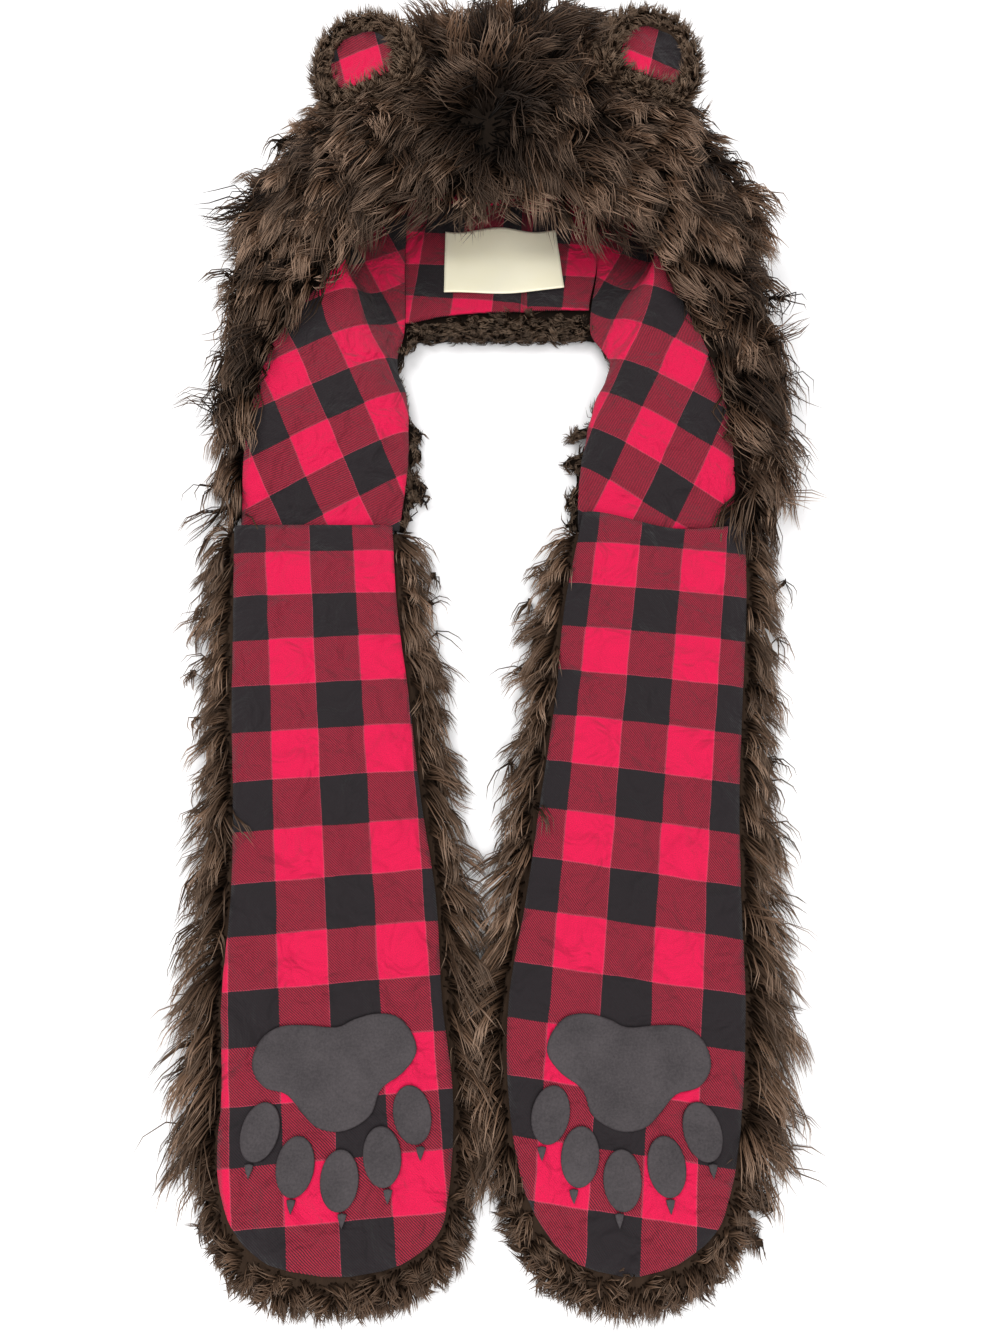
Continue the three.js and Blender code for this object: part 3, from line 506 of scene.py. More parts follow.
# The two arms' linings, long tongues of the check cut straight along the arm. Each is sewn to
# the fur round its sides and its round end and left open at the seam, so the arm is a pocket
# for the hand.
ARM_LENGTH = 0.381
ARM_FRONT = 0.019
GAP = 0.0003
ARM_COLUMNS = ["at", "leftOut", "leftIn", "rightIn", "rightOut"]
ARM_ROWS = [
    [0, -0.922, -0.35, 0.344, 0.931],
    [0.123, -0.9, -0.325, 0.275, 0.912],
    [0.278, -0.875, -0.269, 0.231, 0.869],
    [0.425, -0.838, -0.219, 0.175, 0.831],
    [0.559, -0.819, -0.163, 0.125, 0.812],
    [0.688, -0.819, -0.138, 0.069, 0.8],
    [0.806, -0.794, -0.1, 0.069, 0.769],
    [0.864, -0.794, -0.1, 0.088, 0.744],
    [0.919, -0.769, -0.113, 0.125, 0.706],
    [0.95, -0.731, -0.131, 0.169, 0.669],
    [0.975, -0.67, -0.19, 0.225, 0.6],
    [0.993, -0.57, -0.29, 0.31, 0.51],
    [1.0, -0.47, -0.38, 0.39, 0.44],
]
ARM_SHARES = 40
ARM_STEPS = 120
# Where the check's lines run on each arm. Places (y, x) on one line along the arm, which bends a
# little. The first line across it, with its pitch, and how the lines across slope at the seam and
# further down.
ARM_LINES = {
    LEFT: [
        (-0.2578, -0.0791), (-0.3726, -0.0670), (-0.415, -0.0617), (-0.508, -0.0549),
        (-0.6160, -0.0419),
    ],
    RIGHT: [(-0.2578, 0.1138), (-0.4117, 0.0932), (-0.5166, 0.0818), (-0.6254, 0.0713)],
}
ARM_REPEAT = 0.0502
ARM_ROWS_ACROSS = {
    LEFT: {"start": -0.2725, "pitch": 0.02627, "slope": (0.02, 0.08)},
    RIGHT: {"start": -0.3222, "pitch": 0.0263, "slope": (-0.08, -0.14)},
}


def arm_edges(side, at):
    """The lining's outer and inner edge, as x in metres."""
    row = columns_at(ARM_ROWS, ARM_COLUMNS, at)
    names = ("leftOut", "leftIn") if side == LEFT else ("rightOut", "rightIn")
    return [row[name] * HALF_WIDTH for name in names]


def arm_height(side, x, y):
    """The middle of the arm's cloth: flat, with slow waves and low creases across the arm."""
    slow = ripple(x, y, 0.085, 40 + side) * 0.0011
    crease = ripple(0.4 * x, y, 0.026, 50 + side) * 0.0005
    return ARM_FRONT + CLOTH / 2 + 0.0004 + slow + crease


def arm_steps():
    """Places from the seam (0) to the round end (1), closer together towards the end."""
    even = np.linspace(0, 1, ARM_STEPS)
    share = (1 - np.cos(np.linspace(0, np.pi / 2, ARM_STEPS))) * 0.02 + even * 0.98
    return np.sin(share * np.pi / 2) * 0.25 + share * 0.75


def arm_grid(side, at, outer, inner):
    """An arm's cloth. Each row runs from the outer edge to the inner one, and the right arm's
    mouth gapes at its inner corner. The cloth dips along its sewn rim, puckers there in short
    waves, and ends at its mouth in a rolled lip and a groove of stitches."""
    across = np.linspace(0, 1, ARM_SHARES)[None, :]
    x = outer[:, None] + (inner - outer)[:, None] * across
    y = -SEAM_REACH - GAP - at[:, None] * ARM_LENGTH + 0 * across
    if side == RIGHT:
        gape = 0.009 * np.exp(-((1 - across) / 0.35) ** 2)
        gape = gape - 0.003 * np.exp(-(((across - 0.4) / 0.25) ** 2))
        y = y + gape * np.exp(-at[:, None] * ARM_LENGTH / 0.022)
    z = arm_height(side, x, y)
    rim = np.minimum(across, 1 - across) * abs(inner - outer)[:, None]
    rim = np.minimum(rim, (1 - at)[:, None] * ARM_LENGTH)
    z = z - 0.0012 * np.exp(-((rim / 0.004) ** 2))
    pucker = np.sin(y / 0.0028 + 2 * ripple(y, 0 * y, 0.04, 60 + side))
    z = z + 0.00035 * pucker * np.exp(-rim / 0.008)
    lip = (y + SEAM_REACH + GAP) / 0.007
    z = z + 0.0007 * np.exp(-((lip + 0.55) ** 2) * 6) - 0.0009 * np.exp(-((lip + 1.3) ** 2) * 12)
    return np.stack([x, y, z], -1)


def arm_pattern(side, grid, at, middle):
    """Places on the check. Across, the way from the line along the arm, a parabola through its
    places. Down, the way from the first line across it, with the slope of the lines there."""
    x, y = grid[..., 0], grid[..., 1]
    line = np.polyval(np.polyfit(*np.array(ARM_LINES[side]).T, 2), y)
    rows = ARM_ROWS_ACROSS[side]
    slope = rows["slope"][0] + (rows["slope"][1] - rows["slope"][0]) * np.clip(at * 2, 0, 1)[:, None]
    level = y - slope * (x - middle[:, None])
    return np.stack([(x - line) / ARM_REPEAT, (rows["start"] - level) / (2 * rows["pitch"])], -1)


for side, name in SIDES:
    at = arm_steps()
    outer, inner = arm_edges(side, at)
    grid = arm_grid(side, at, outer, inner)
    pattern = arm_pattern(side, grid, at, (outer + inner) / 2)
    piece = cloth_piece(f"{name}_arm_cloth", grid, pattern, plaid)
    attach(piece, "root")
    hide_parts(f"{name}_arm_lining")
    widths, bed = abs(inner - outer), f"{name}_arm_fur"
    area = float(np.sum((widths[1:] + widths[:-1]) / 2 * np.diff(at)) * ARM_LENGTH)
    flat = (float(widths.max()), ARM_LENGTH)


# The paw pads and claws, soft dark plastic pressed on to each arm's lining: a three-lobed palm,
# five round toes and five small pointed claws.
PAD_THICKNESS = 0.0016
PALM_WIDTH, PALM_HEIGHT = 0.079, 0.053
TOE_WIDTH, TOE_LENGTH = 0.018, 0.0265
CLAW_WIDTH, CLAW_LENGTH = 0.0042, 0.0065
PALM_AT, PALM_SHIFT = 0.772, 0.025
# The palm's outline, in shares of its width and height.
PALM_POINTS = [
    [0, 0.38], [0.11, 0.45], [0.25, 0.5], [0.38, 0.47], [0.47, 0.33], [0.5, 0.16], [0.42, -0.01],
    [0.29, -0.15], [0.24, -0.35], [0.14, -0.46], [0.03, -0.5], [-0.09, -0.46], [-0.18, -0.34],
    [-0.28, -0.19], [-0.42, -0.13], [-0.5, 0.04], [-0.47, 0.25], [-0.36, 0.38], [-0.2, 0.4],
]
CLAW_POINTS = [
    (-0.5, 0.42), (-0.4, 0.08), (-0.17, -0.28), (0, -0.5), (0.15, -0.28), (0.38, 0.08), (0.5, 0.42),
    (0, 0.5),
]
# Each toe's place from the palm's middle, in shares of the palm, its turn in degrees, and how far
# across its claw stands from the palm's middle line.
TOE_ROWS = [
    [-0.424, -0.5, 14, -0.05], [-0.2, -0.78, 6, -0.012], [0.066, -0.89, 0, 0.025],
    [0.313, -0.7, -8, 0.042], [0.485, -0.36, -14, 0.055],
]

pad_finish, start = new_finish("pad_plastic", roughness=0.68, Specular_IOR_Level=0.3)
spot = start.node("ShaderNodeTexCoord", 3)
grit = spot.noise(900.0, 4.0, Roughness=0.65)
smear = spot.noise(60.0)
tint = (smear * 0.45 + grit * 0.55 - 0.3) * 2.4
wear(pad_finish, tint.mix((0.019, 0.015, 0.017), (0.062, 0.052, 0.055)), grit, 0.0003)


def closed_curve(points, count):
    """A smooth closed outline through the points: a Catmull-Rom curve, evenly stepped."""
    points = np.array(points, float)
    t = np.linspace(0, len(points), count, endpoint=False)
    i = t.astype(int)
    t = (t - i)[:, None]
    a, b, c, d = (points[(i + k) % len(points)] for k in (-1, 0, 1, 2))
    return b + t * ((c - a) / 2 + t * (a - 2.5 * b + 2 * c - d / 2 + t * (-a + 3 * b - 3 * c + d) / 2))


# A pad's rings, from the middle of its underside round the rim to the middle of its top: the
# share of the outline, and the height in thicknesses.
PAD_RINGS = [
    (0, 0), (0.35, 0), (0.75, 0), (0.97, 0), (1, 0.25), (1, 0.75), (0.975, 0.93), (0.93, 1),
    (0.75, 1.06), (0.5, 1.1), (0.25, 1.12), (0, 1.12),
]


def pad_piece(name, node, outline, centre, side):
    """A pad laid on the arm's cloth: each ring is the outline drawn in towards its middle."""
    count = len(outline)
    middle = outline.mean(axis=0)
    share, rise = np.array(PAD_RINGS).T
    flat = middle + (outline - middle) * share[1:-1, None, None]
    flat = np.concatenate([[middle], flat.reshape(-1, 2), [middle]]) + centre
    height = np.repeat(rise[1:-1], count)
    height = np.concatenate([[rise[0]], height, [rise[-1]]]) * PAD_THICKNESS
    z = arm_height(side, flat[:, 0], flat[:, 1]) + CLOTH / 2 + GAP / 2 + height
    points = np.column_stack([flat, z])
    around = np.arange(count)
    after = (around + 1) % count
    base = 1 + np.arange(len(PAD_RINGS) - 3)[:, None] * count
    wall = np.stack([base + around, base + after, base + count + after, base + count + around], -1)
    wall = wall.reshape(-1, 4)
    last = len(points) - 1
    ends = last - count
    under = np.stack([0 * around, 1 + after, 1 + around], -1)
    top = np.stack([0 * around + last, ends + around, ends + after], -1)
    faces = np.concatenate([wall[:, [0, 1, 2]], wall[:, [0, 2, 3]], under, top])
    piece = mesh_piece(name, points, faces, pad_finish)
    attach(piece, "root")
    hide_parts(node)


def palm_middle(side):
    """The middle of a palm: a share of the way down the arm, by the middle of the cloth at the
    next row of the arm's table."""
    row_at = next(row[0] for row in ARM_ROWS if row[0] > PALM_AT)
    outer, inner = arm_edges(side, np.array([row_at]))
    x = (outer[0] + inner[0]) / 2 + side * PALM_SHIFT * PALM_WIDTH
    return np.array([x, -SEAM_REACH - GAP - PALM_AT * ARM_LENGTH])


def toe_outline(turn):
    """An ellipse, turned by so many degrees."""
    angle = np.linspace(0, 2 * np.pi, 36, endpoint=False)
    lean = math.radians(turn)
    x, y = np.cos(angle) * TOE_WIDTH / 2, np.sin(angle) * TOE_LENGTH / 2
    turned_x = x * math.cos(lean) - y * math.sin(lean)
    turned_y = x * math.sin(lean) + y * math.cos(lean)
    return np.column_stack([turned_x, turned_y])


for side, name in SIDES:
    palm = palm_middle(side)
    outline = closed_curve(PALM_POINTS, 72) * [-side * PALM_WIDTH, PALM_HEIGHT]
    pad_piece(f"{name}_palm", f"{name}_palm_pad", outline, palm, side)
    for i, (toe_x, toe_y, turn, claw_x) in enumerate(TOE_ROWS, 1):
        middle = palm + [-side * toe_x * PALM_WIDTH, toe_y * PALM_HEIGHT]
        pad_piece(f"{name}_toe_{i}", f"{name}_toe_pad_{i}", toe_outline(side * turn), middle, side)
        claw = np.array(CLAW_POINTS) * [CLAW_WIDTH, CLAW_LENGTH]
        down = (TOE_LENGTH + CLAW_LENGTH) / 2 + GAP
        point = middle + [-side * claw_x * PALM_WIDTH, -down]
        pad_piece(f"{name}_claw_pad_{i}", f"{name}_claw_{i}", claw, point, side)


# The two ears, each a flat round bag of short dense plush with a patch of the check let into
# its face. They lean back on the crown, a little towards each other.
EAR_WIDTH, EAR_LENGTH, EAR_THICKNESS = 0.064, 0.062, 0.017
EAR_TURNS = (0.3, 0.2, 0.25)
EAR_PATCH = 0.62
HOOD_TOP = 0.0782
EAR_PLACES = {LEFT: (-0.48, 0.3), RIGHT: (0.62, 0.34)}
EAR_PATTERN = {LEFT: (-0.013, -0.006), RIGHT: (-0.026, 0.002)}


def ear_frame(side):
    """An ear's middle and its own axes: turned about z, then y, then x."""
    turns = np.multiply(EAR_TURNS, (1, side, -side))
    (ca, sa), (cb, sb), (cc, sc) = ((math.cos(turn), math.sin(turn)) for turn in turns)
    about_x = np.array([[1, 0, 0], [0, ca, -sa], [0, sa, ca]])
    about_y = np.array([[cb, 0, sb], [0, 1, 0], [-sb, 0, cb]])
    about_z = np.array([[cc, -sc, 0], [sc, cc, 0], [0, 0, 1]])
    x, y = EAR_PLACES[side]
    return np.array([x * HALF_WIDTH, y * CROWN_REACH, HOOD_TOP * 0.99]), about_x @ about_y @ about_z


for side, name in SIDES:
    middle, axes = ear_frame(side)
    up = np.linspace(math.sin(-0.22 * math.pi), 0.93, 26)[:, None]
    across = np.linspace(-1, 1, 26)[None, :]
    x = across * np.sqrt(1 - up**2) * EAR_WIDTH * EAR_PATCH / 2
    y = up * EAR_LENGTH * EAR_PATCH / 2 + 0 * across
    slack = (1 - across**2) * (1 - up**2) * 0.0007
    z = EAR_THICKNESS / 2 - 1.5 * CLOTH + GAP + slack + 0.0003 * ripple(x, y, 0.012, 80 + side)
    grid = middle + np.stack([x, y, z], -1) @ axes.T
    pattern = (np.stack([x, -y], -1) - EAR_PATTERN[side]) / (2 * CHECK)
    piece = cloth_piece(f"{name}_ear_cloth", grid, pattern, plaid)
    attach(piece, "root")
    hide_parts(f"{name}_ear_lining")
    width, length = float(np.ptp(x)), float(np.ptp(y))
    area = float(np.mean(np.sqrt(1 - up**2))) * width * length


# The hood's fur. The real one is a knitted cloth with a dense dark wool and, out of it, long
# coarse hairs that cling together in pointed locks. They lie away from a whorl on the crown, then
# down towards the paws. The wool takes the solid's own form, and the hairs grow on it.
FLOOR_CLEARANCE = 0.0004
# No hair grows where a lining is this near, ahead of the wool or beside it.
LINING_AHEAD, LINING_BESIDE = 0.009, 0.0016


def mesh_arrays(mesh):
    """A mesh's points, its triangles and its points' normals, as arrays."""
    mesh.calc_loop_triangles()
    points = np.empty(len(mesh.vertices) * 3, np.float32)
    mesh.vertices.foreach_get("co", points)
    triangles = np.empty(len(mesh.loop_triangles) * 3, np.int32)
    mesh.loop_triangles.foreach_get("vertices", triangles)
    normals = np.empty(len(mesh.vertices) * 3, np.float32)
    mesh.vertex_normals.foreach_get("vector", normals)
    points, triangles, normals = (array.reshape(-1, 3) for array in (points, triangles, normals))
    return points.astype(float), triangles, normals.astype(float)


def tree_of(points):
    """A tree to look up the nearest of the points."""
    tree = KDTree(len(points))
    for i, point in enumerate(points):
        tree.insert(point, i)
    tree.balance()
    return tree


cloths = [part for part in bpy.data.objects if part.name.endswith("_cloth")]
lining = [mesh_arrays(part.data)[:2] for part in cloths if part.name != "label_cloth"]
lining = [np.concatenate([points, points[corners].mean(1)]) for points, corners in lining]
lining_points = np.concatenate(lining)
lining_tree = tree_of(lining_points)
lining_plan = tree_of(lining_points * [1, 1, 0])


def wool_finish(name, dark, light):
    """Matted wool: a dark ground with fine streaks along the pile."""
    finish, start = new_finish(name, roughness=0.95, Specular_IOR_Level=0.1)
    spot = start.node("ShaderNodeTexCoord", 3)
    streaks = start.node("ShaderNodeMapping", inputs={"Vector": spot, "Scale": (1.0, 0.25, 1.0)})
    hairs = streaks.noise(700.0, 5.0)
    tufts = spot.noise(90.0)
    tone = hairs * 0.6 + tufts * 0.4
    return wear(finish, tone.mix(dark, light), hairs, 0.0009)


def hair_finish(name, root, middle, tip):
    """Hairs that are dark at their roots and paler to their tips, each in its own tone. The
    piece's map holds the tone across and the way along the hair upwards."""
    finish, start = new_finish(name, roughness=0.5, Specular_IOR_Level=0.12)
    place = start.node("ShaderNodeUVMap", uv_map="OFBake")
    tone = start.node("ShaderNodeSeparateXYZ", 0, inputs={"Vector": place})
    along = start.node("ShaderNodeSeparateXYZ", 1, inputs={"Vector": place})
    stops = [(0, root), (0.5, middle), (1, tip)]
    pale = start.node("ShaderNodeValToRGB", stops=stops, inputs={"Fac": along})
    deep = [(where, tuple(0.08 * c for c in colour)) for where, colour in stops]
    dark = start.node("ShaderNodeValToRGB", stops=deep, inputs={"Fac": along})
    return wear(finish, tone.mix(dark, pale))


def wool_piece(name, node, cell, draw_in, lump, finish):
    """A copy of a node's solid, merged and remade in even cells, drawn in along its normals and
    made lumpy by smooth noise."""
    wool = bpy.data.objects.new(name, frame["nodes"][node].data.copy())
    bpy.context.collection.objects.link(wool)
    merge = wool.modifiers.new("merge", "WELD")
    merge.merge_threshold = 0.00001
    remake = wool.modifiers.new("remake", "REMESH")
    remake.mode, remake.voxel_size = "VOXEL", cell
    smooth = wool.modifiers.new("smooth", "SMOOTH")
    smooth.factor, smooth.iterations = 0.5, 3
    shown = wool.evaluated_get(bpy.context.evaluated_depsgraph_get())
    made = bpy.data.meshes.new_from_object(shown)
    wool.modifiers.clear()
    wool.data = made
    points, _, normals = mesh_arrays(made)
    bumps = ripple(points[:, 0] + points[:, 2], points[:, 1] - points[:, 2], 0.014, 7) * lump
    points += normals * (bumps - draw_in)[:, None]
    points[:, 2] = np.maximum(points[:, 2], FLOOR_CLEARANCE)
    made.vertices.foreach_set("co", points.astype(np.float32).ravel())
    made.materials.clear()
    made.materials.append(finish)
    made.shade_smooth()
    made.update()
    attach(wool, "root")
    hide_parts(node)
    return wool


def roots_on(wool, density, rng):
    """Places and normals spread over a mesh at random, as many to a triangle as its area times
    the hairs per square metre that the density gives for its centre and normal. None grow where
    a lining lies on the wool."""
    points, triangles, _ = mesh_arrays(wool.data)
    a, b, c = (points[triangles[:, i]] for i in range(3))
    cross = np.cross(b - a, c - a)
    area = np.linalg.norm(cross, axis=1) / 2
    normals = cross / np.maximum(2 * area, 1e-12)[:, None]
    centres = (a + b + c) / 3
    away = np.array([lining_tree.find(centre)[0] for centre in centres]) - centres
    near = np.linalg.norm(away, axis=1)
    ahead = np.einsum("ij,ij->i", away, normals)
    aside = np.sqrt(np.maximum(near**2 - ahead**2, 0))
    facing = (near < LINING_AHEAD) & (ahead > 0) & (aside < LINING_BESIDE + 0.35 * ahead)
    above = lining_points[[lining_plan.find((x, y, 0))[1] for x, y, _ in centres]]
    beside = np.linalg.norm((above - centres)[:, :2], axis=1)
    beneath = (beside < LINING_BESIDE) & (above[:, 2] > centres[:, 2]) & (normals[:, 2] > -0.3)
    count = rng.poisson(area * density(centres, normals) * ~(facing | beneath))
    which = np.repeat(np.arange(len(area)), count)
    u, v = rng.random((2, len(which), 1))
    u, v = np.where(u + v > 1, 1 - u, u), np.where(u + v > 1, 1 - v, v)
    places = a[which] + u * (b - a)[which] + v * (c - a)[which]
    order = rng.permutation(len(which))
    return places[order], normals[which][order]


def unit(vectors):
    """The vectors at length 1."""
    return vectors / np.maximum(np.linalg.norm(vectors, axis=-1, keepdims=True), 1e-9)


def hair_paths(roots, normals, lean, length, locks, stations, rng, stand, swing, droop, cling, curl=0.35):
    """The hairs' paths and each hair's lock. A hair starts out along the normal and bends over to
    the lean, the way the pile lies, curls from side to side and droops. The hairs of a lock are
    drawn to its first hair, more so towards their tips."""
    count = len(roots)
    lean = unit(lean - normals * np.einsum("ij,ij->i", lean, normals)[:, None] * 0.8)
    tree = tree_of(roots[:locks])
    lock = np.array([tree.find(root)[1] for root in roots])
    turn = rng.normal(0, swing, locks)[lock] + rng.normal(0, 0.14, count)
    side = np.cross(lean, normals)
    lean = unit(lean * np.cos(turn)[:, None] + side * np.sin(turn)[:, None])
    side = np.cross(lean, normals)
    phase = rng.uniform(0, 6.3, locks)[lock] + rng.normal(0, 0.5, count)
    upright = stand * rng.uniform(0.5, 1.4, locks)[lock]
    bend = curl * rng.uniform(0.3, 1.6, locks)[lock]
    reach = length * rng.uniform(0.7, 1.15, locks)[lock] * rng.uniform(0.65, 1.1, count)
    shares = np.linspace(0, 1, stations)
    path = [roots]
    for share in (shares[1:] + shares[:-1]) / 2:
        way = normals * (upright * (1 - share) ** 1.3)[:, None] + lean * (0.5 + 0.6 * share)
        way = way + side * (bend * np.sin(phase + 4.2 * share))[:, None]
        way[:, 2] -= droop * share
        path.append(path[-1] + unit(way) * (reach / (stations - 1))[:, None])
    path = np.stack(path, 1)
    pull = cling * shares**1.2
    path += (path[lock] - path) * pull[None, :, None] * rng.uniform(0.45, 1, (count, 1, 1))
    return path, lock


def hair_faces(stations):
    """One hair's triangles: its root's end, the bands between its rings of three points, and
    its tip."""
    rings, tip = stations - 1, 3 * (stations - 1)
    sides = ((0, 1), (1, 2), (2, 0))
    faces = [(0, 2, 1)]
    for r in range(0, 3 * rings - 3, 3):
        for i, j in sides:
            faces += [(r + i, r + j, r + 3 + j), (r + i, r + 3 + j, r + 3 + i)]
    faces += [(tip - 3 + i, tip - 3 + j, tip) for i, j in sides]
    return np.array(faces)


def hair_piece(name, roots, normals, lean, length, rng, finish, tones, per_lock, width=0.0008,
               stations=4, **habit):
    """Hairs with three sides that taper to their tips, along the paths that their habit gives.
    tones are the darkest and the palest hair's tone, each a number or one for each hair."""
    count = len(roots)
    locks = max(1, count // per_lock)
    path, lock = hair_paths(roots, normals, lean, length, locks, stations, rng, **habit)
    shares = np.linspace(0, 1, stations)
    thick = width * rng.uniform(0.7, 1.25, (count, 1)) * (1 - shares[:-1] ** 2 * 0.75) / 2
    path[..., 2] = np.maximum(path[..., 2], FLOOR_CLEARANCE + width / 2)
    way = unit(np.gradient(path, axis=1))
    flat = unit(np.cross(way, np.array([0.13, 0.11, 1.0])))
    edge = np.cross(way, flat)
    corners = np.radians([90, 210, 330])[:, None]
    ring = flat[:, :-1, None] * np.cos(corners) + edge[:, :-1, None] * np.sin(corners)
    ring = path[:, :-1, None] + ring * thick[:, :, None, None]
    points = np.concatenate([ring.reshape(count, -1, 3), path[:, -1:]], 1)
    own = rng.uniform(0, 1, locks)[lock] ** 1.8 * 0.68 + rng.uniform(0, 1, count) ** 1.2 * 0.32
    own = np.clip(tones[0] + own * (tones[1] - tones[0]), 0, 1)
    across = np.append(np.tile([0, 0.012, 0.024], stations - 1), 0.012)
    along = np.append(np.repeat(shares[:-1], 3), 1)
    along[1] = 0.02
    places = np.stack([own[:, None] * 0.95 + across, np.broadcast_to(along, (count, len(along)))], -1)
    faces = hair_faces(stations)
    each = np.arange(count)[:, None, None] * points.shape[1]
    piece = mesh_piece(name, points.reshape(-1, 3), (faces + each).reshape(-1, 3), finish,
                       places[:, faces].reshape(-1, 3, 2))
    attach(piece, "root")
    return piece


def near_to(places, x, y, reach):
    """How near places are to a spot seen from above: 1 there, and 0 far beyond the reach."""
    return np.exp(-((places[:, 0] - x) ** 2 + (places[:, 1] - y) ** 2) / reach**2)


long_wool = wool_finish("long_wool", (0.003, 0.002, 0.0012), (0.013, 0.0075, 0.0045))
long_hair = hair_finish("long_hair", (0.003, 0.0014, 0.0008), (0.14, 0.077, 0.045), (0.62, 0.42, 0.30))
WHORL_X, WHORL_Y = -0.001, -0.012
HEM_MIDDLE, HEM_HALF_WIDTH = 0.008, 0.078
HOOD_HAIRS, HOOD_HAIRS_BELOW = 2.15e5, 2.5e4
HOOD_HAIR_LENGTH = 0.045


def hood_lean(places):
    """The pile lies away from the whorl on the crown, sweeps down over both sides of the head,
    and lies towards the paws further down."""
    lean = (places - [WHORL_X, WHORL_Y, 0]) * [1.0, 1.0, 0]
    sweep = np.clip(abs(lean[:, 0]) / 0.05, 0, 1) * np.clip((0.08 - places[:, 1]) / 0.04, 0, 1)
    lean[:, 1] -= 0.06 * sweep
    far = np.clip(-places[:, 1:2] / 0.16, 0, 1)
    return unit(unit(lean) * (1 - 0.35 * far) + np.array([0, -0.8, 0]) * far)


def hood_density(centres, normals):
    """Hairs per square metre: thick where they show and most of all on the brow, thinner round
    the whorl and underneath, where the hood lies on the floor."""
    below = (normals[:, 2] < -0.55) & (centres[:, 2] < 0.012)
    brow = np.exp(-(((centres[:, 1] + 0.058) / 0.018) ** 2)) * (centres[:, 2] > 0.03)
    thick = 1 - 0.45 * near_to(centres, WHORL_X, WHORL_Y, 0.02) + 0.7 * brow
    return np.where(below, HOOD_HAIRS_BELOW, HOOD_HAIRS * thick)


def hood_length(places):
    """Longest on the cheeks and along the brow, shorter on the crown and down the sides, and
    shortest behind each ear, so that the ears show."""
    cheeks = near_to(places, -0.095, -0.065, 0.03) + 0.4 * near_to(places, 0.105, -0.05, 0.03)
    brow = np.exp(-(((places[:, 1] + 0.052) / 0.02) ** 2))
    brow = brow * np.clip(abs(places[:, 0] - 0.012) / 0.04 - 0.4, 0, 1)
    crown = np.clip((places[:, 1] - 0.05) / 0.03, 0, 1)
    sides = np.clip((abs(places[:, 0]) - 0.055) / 0.03, 0, 1)
    sides = sides * np.clip((places[:, 1] + 0.13) / 0.05, 0, 1)
    length = HOOD_HAIR_LENGTH + 0.010 * cheeks + 0.010 * brow - 0.014 * crown - 0.016 * sides
    for side, (x, y) in EAR_PLACES.items():
        x, y = x * HALF_WIDTH, y * CROWN_REACH
        beyond = side * (places[:, 0] - x) + 0.8 * (places[:, 1] - y) > 0.004
        length = length * (1 - 0.55 * beyond * near_to(places, x, y, 0.05))
    return length


wool = wool_piece("hood_wool", "hood_fur", cell=0.004, draw_in=0.0025, lump=0.0012, finish=long_wool)
rng = np.random.default_rng(21)
roots, normals = roots_on(wool, hood_density, rng)
hem = (abs(roots[:, 0] - HEM_MIDDLE) < HEM_HALF_WIDTH) & (roots[:, 1] < -0.075) & (roots[:, 2] < 0.02)
zones = {
    "crown_hair": (roots[:, 1] > -0.008) & ~hem,
    "brow_hair": (roots[:, 1] <= -0.008) & (roots[:, 1] > -0.125) & ~hem,
    "shoulder_hair": (roots[:, 1] <= -0.125) & ~hem,
}
for name, zone in zones.items():
    here, out = roots[zone], normals[zone]
    whorl = near_to(here, WHORL_X, WHORL_Y, 0.036)
    # Painted shade: near the whorl the hairs' palest tone drops almost to the darkest, standing in for
    # the shadow in the hollow there. Further down, past the brow, the palest tone also drops a little.
    tones = (-0.1, 1.25 - 1.1 * whorl - 0.3 * np.clip((-0.08 - here[:, 1]) / 0.04, 0, 1))
    piece = hair_piece(name, here, out, hood_lean(here), hood_length(here), rng, long_hair, tones,
                       width=0.0009, stand=0.62 - 0.3 * whorl, curl=0.5, swing=0.45, droop=0.3,
                       per_lock=22, cling=0.82)


# The arms' fur. The same knitted cloth as the hood's with a browner pile, which stands out all
# round the lining as a fringe and lies towards the paws. It is sewn to the lining's edge. Round
# the end of each paw it is clipped to a short plush.
ARM_HAIRS, ARM_HAIRS_BELOW = 4.25e5, 4.0e4
ARM_HAIR_LENGTH, PAW_HAIR_LENGTH = 0.027, 0.013
short_wool = wool_finish("short_wool", (0.012, 0.007, 0.0045), (0.045, 0.027, 0.017))
arm_hair = hair_finish("arm_hair", (0.035, 0.020, 0.012), (0.19, 0.11, 0.067), (0.58, 0.40, 0.29))


def arm_density(centres, normals):
    """Hairs per square metre: thicker round the paw, and thin underneath."""
    below = (normals[:, 2] < -0.55) & (centres[:, 2] < 0.010)
    paw = np.clip((-0.565 - centres[:, 1]) / 0.02, 0, 1)
    return np.where(below, ARM_HAIRS_BELOW, ARM_HAIRS * (1 + 0.3 * paw))


def arm_hair_length(side, places, normals):
    """Longer towards the paw, and short on slopes that face the lining, which stays bare."""
    low = np.clip((-0.36 - places[:, 1]) / 0.12, 0, 1)
    outer, inner = arm_edges(side, (-places[:, 1] - SEAM_REACH) / ARM_LENGTH)
    inward = np.sign((outer + inner) / 2 - places[:, 0]) * normals[:, 0] > 0.1
    return (ARM_HAIR_LENGTH + 0.009 * low) * np.where(inward, 0.45, 1)


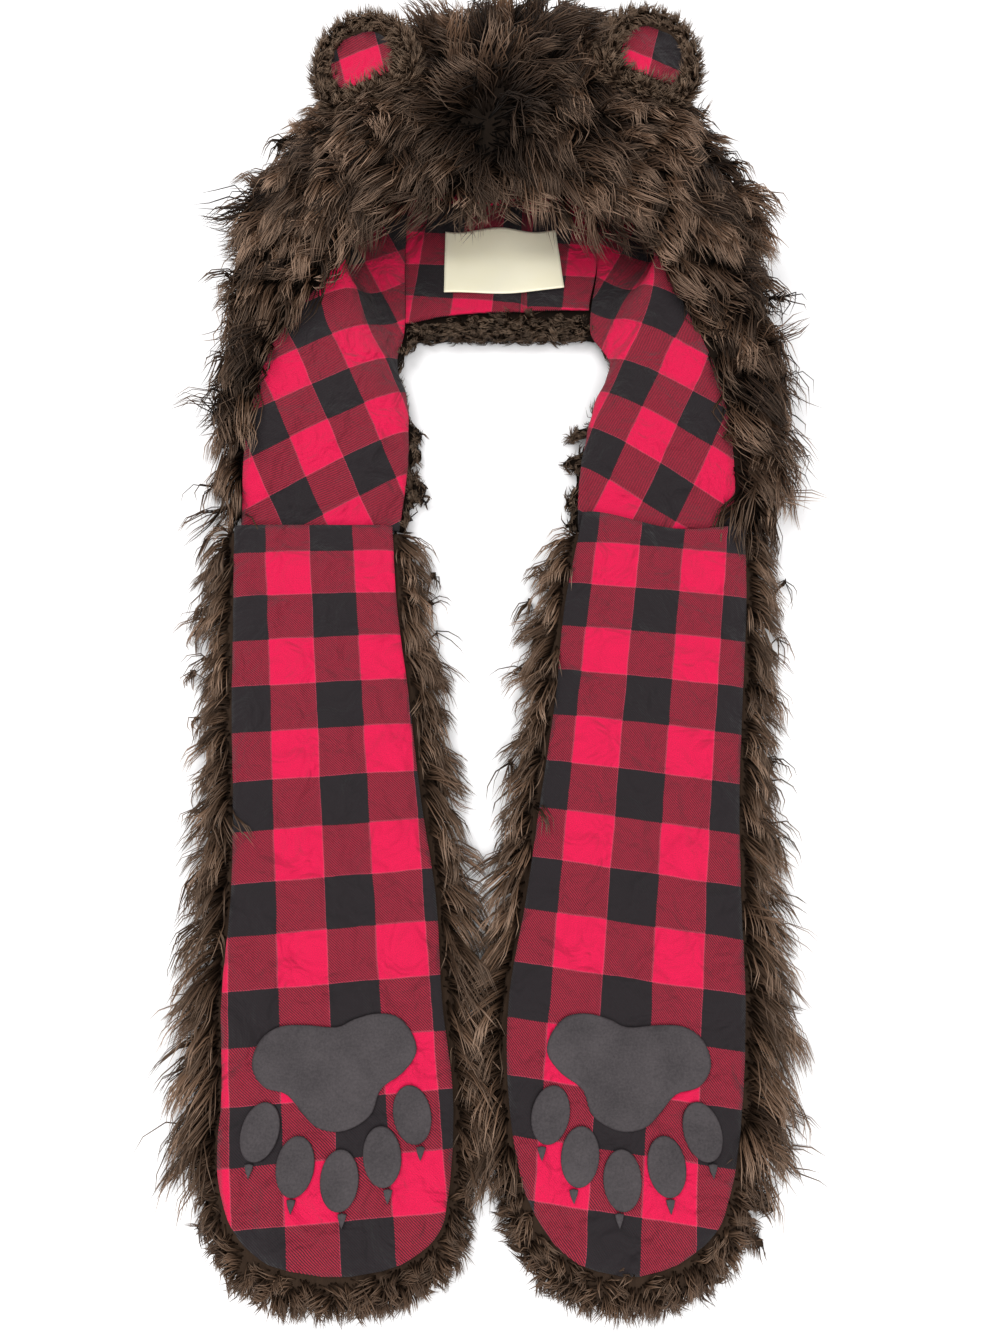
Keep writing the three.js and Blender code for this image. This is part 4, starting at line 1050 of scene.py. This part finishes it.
for side, name in SIDES:
    wool = wool_piece(f"{name}_arm_wool", f"{name}_arm_fur", cell=0.004, draw_in=0.0022, lump=0.0012,
                      finish=short_wool)
    rng = np.random.default_rng(31 + side)
    roots, normals = roots_on(wool, arm_density, rng)
    fade = np.clip((-0.575 - roots[:, 1]) / 0.02, 0, 1)
    paw = (roots[:, 1] < -0.585) & (rng.random(len(roots)) < fade)
    here, out = roots[~paw], normals[~paw]
    lean = out * [0.9, 0.3, 0] + [0, -0.95, 0]
    length = arm_hair_length(side, here, out)
    piece = hair_piece(f"{name}_arm_hair", here, out, lean, length, rng, arm_hair, (0.1, 1.0),
                       stand=0.9, swing=0.35, curl=0.25, droop=0.2, per_lock=12, cling=0.6)
    here, out = roots[paw], normals[paw]
    lean = out * [1.0, 1.0, 0] + [0, -0.3, -0.2]
    length = np.full(len(here), PAW_HAIR_LENGTH)
    piece = hair_piece(f"{name}_paw_plush", here, out, lean, length, rng, arm_hair, (0.15, 0.65),
                       width=0.0007, stand=0.9, droop=0.2, swing=0.8, per_lock=9, cling=0.5, stations=3)


# The plush along the neck's hem. A low wall of the hood's cloth with a short, dense, curly pile
# that stands up all along its edge. It closes the neck's side of the hood.
HEM_HAIRS = 1.1e6
HEM_HAIR_LENGTH = 0.012
short_hair = hair_finish("short_hair", (0.035, 0.020, 0.012), (0.12, 0.073, 0.046), (0.33, 0.23, 0.16))


def hem_density(centres, normals):
    """Hairs per square metre: only on the neck's own wall, between the two shoulders, and on
    the edge of it."""
    wall = (abs(centres[:, 0] - HEM_MIDDLE) < HEM_HALF_WIDTH) & (centres[:, 1] < -0.09)
    wall = wall & (centres[:, 2] < 0.02)
    return np.where(wall & (normals[:, 2] > -0.7), HEM_HAIRS, 0)


rng = np.random.default_rng(71)
roots, normals = roots_on(bpy.data.objects["hood_wool"], hem_density, rng)
lean = np.tile([0.0, -0.25, 0.7], (len(roots), 1)) + 0.3 * normals
length = np.full(len(roots), HEM_HAIR_LENGTH)
piece = hair_piece("hem_plush", roots, normals, lean, length, rng, short_hair, (0.15, 0.9),
                   width=0.0008, stand=0.6, curl=0.7, droop=0.0, swing=0.9, per_lock=8, cling=0.45,
                   stations=3)


# The ears' plush. Each ear is a bag of a short, dense pile, lightly filled and sewn shut round
# its patch. The pile stands out all round and leans in over the patch's edge.
EAR_HAIRS = 1.15e6
EAR_HAIR_LENGTH = 0.0105
ear_wool = wool_finish("ear_wool", (0.022, 0.013, 0.008), (0.085, 0.053, 0.035))


def ear_density(centres, normals):
    """Hairs per square metre: the same all over."""
    return np.full(len(centres), EAR_HAIRS)


for side, name in SIDES:
    wool = wool_piece(f"{name}_ear_wool", f"{name}_ear_fur", cell=0.0018, draw_in=0.0012, lump=0.0004,
                      finish=ear_wool)
    rng = np.random.default_rng(51 + side)
    roots, normals = roots_on(wool, ear_density, rng)
    middle, axes = ear_frame(side)
    out = (roots - middle) / EAR_WIDTH * 2
    front = np.clip(normals @ axes[:, 2] * 2 - 0.6, 0, 1)[:, None]
    lean = out * (1 - 1.5 * front) + axes[:, 1] * 0.4 * (1 - front) + axes[:, 2] * (0.2 + 0.6 * front)
    length = np.full(len(roots), EAR_HAIR_LENGTH)
    piece = hair_piece(f"{name}_ear_plush", roots, normals, lean, length, rng, short_hair, (0.4, 1.5),
                       width=0.0006, stand=1.4, curl=0.3, droop=0.1, swing=0.7, per_lock=5, cling=0.35,
                       stations=3)
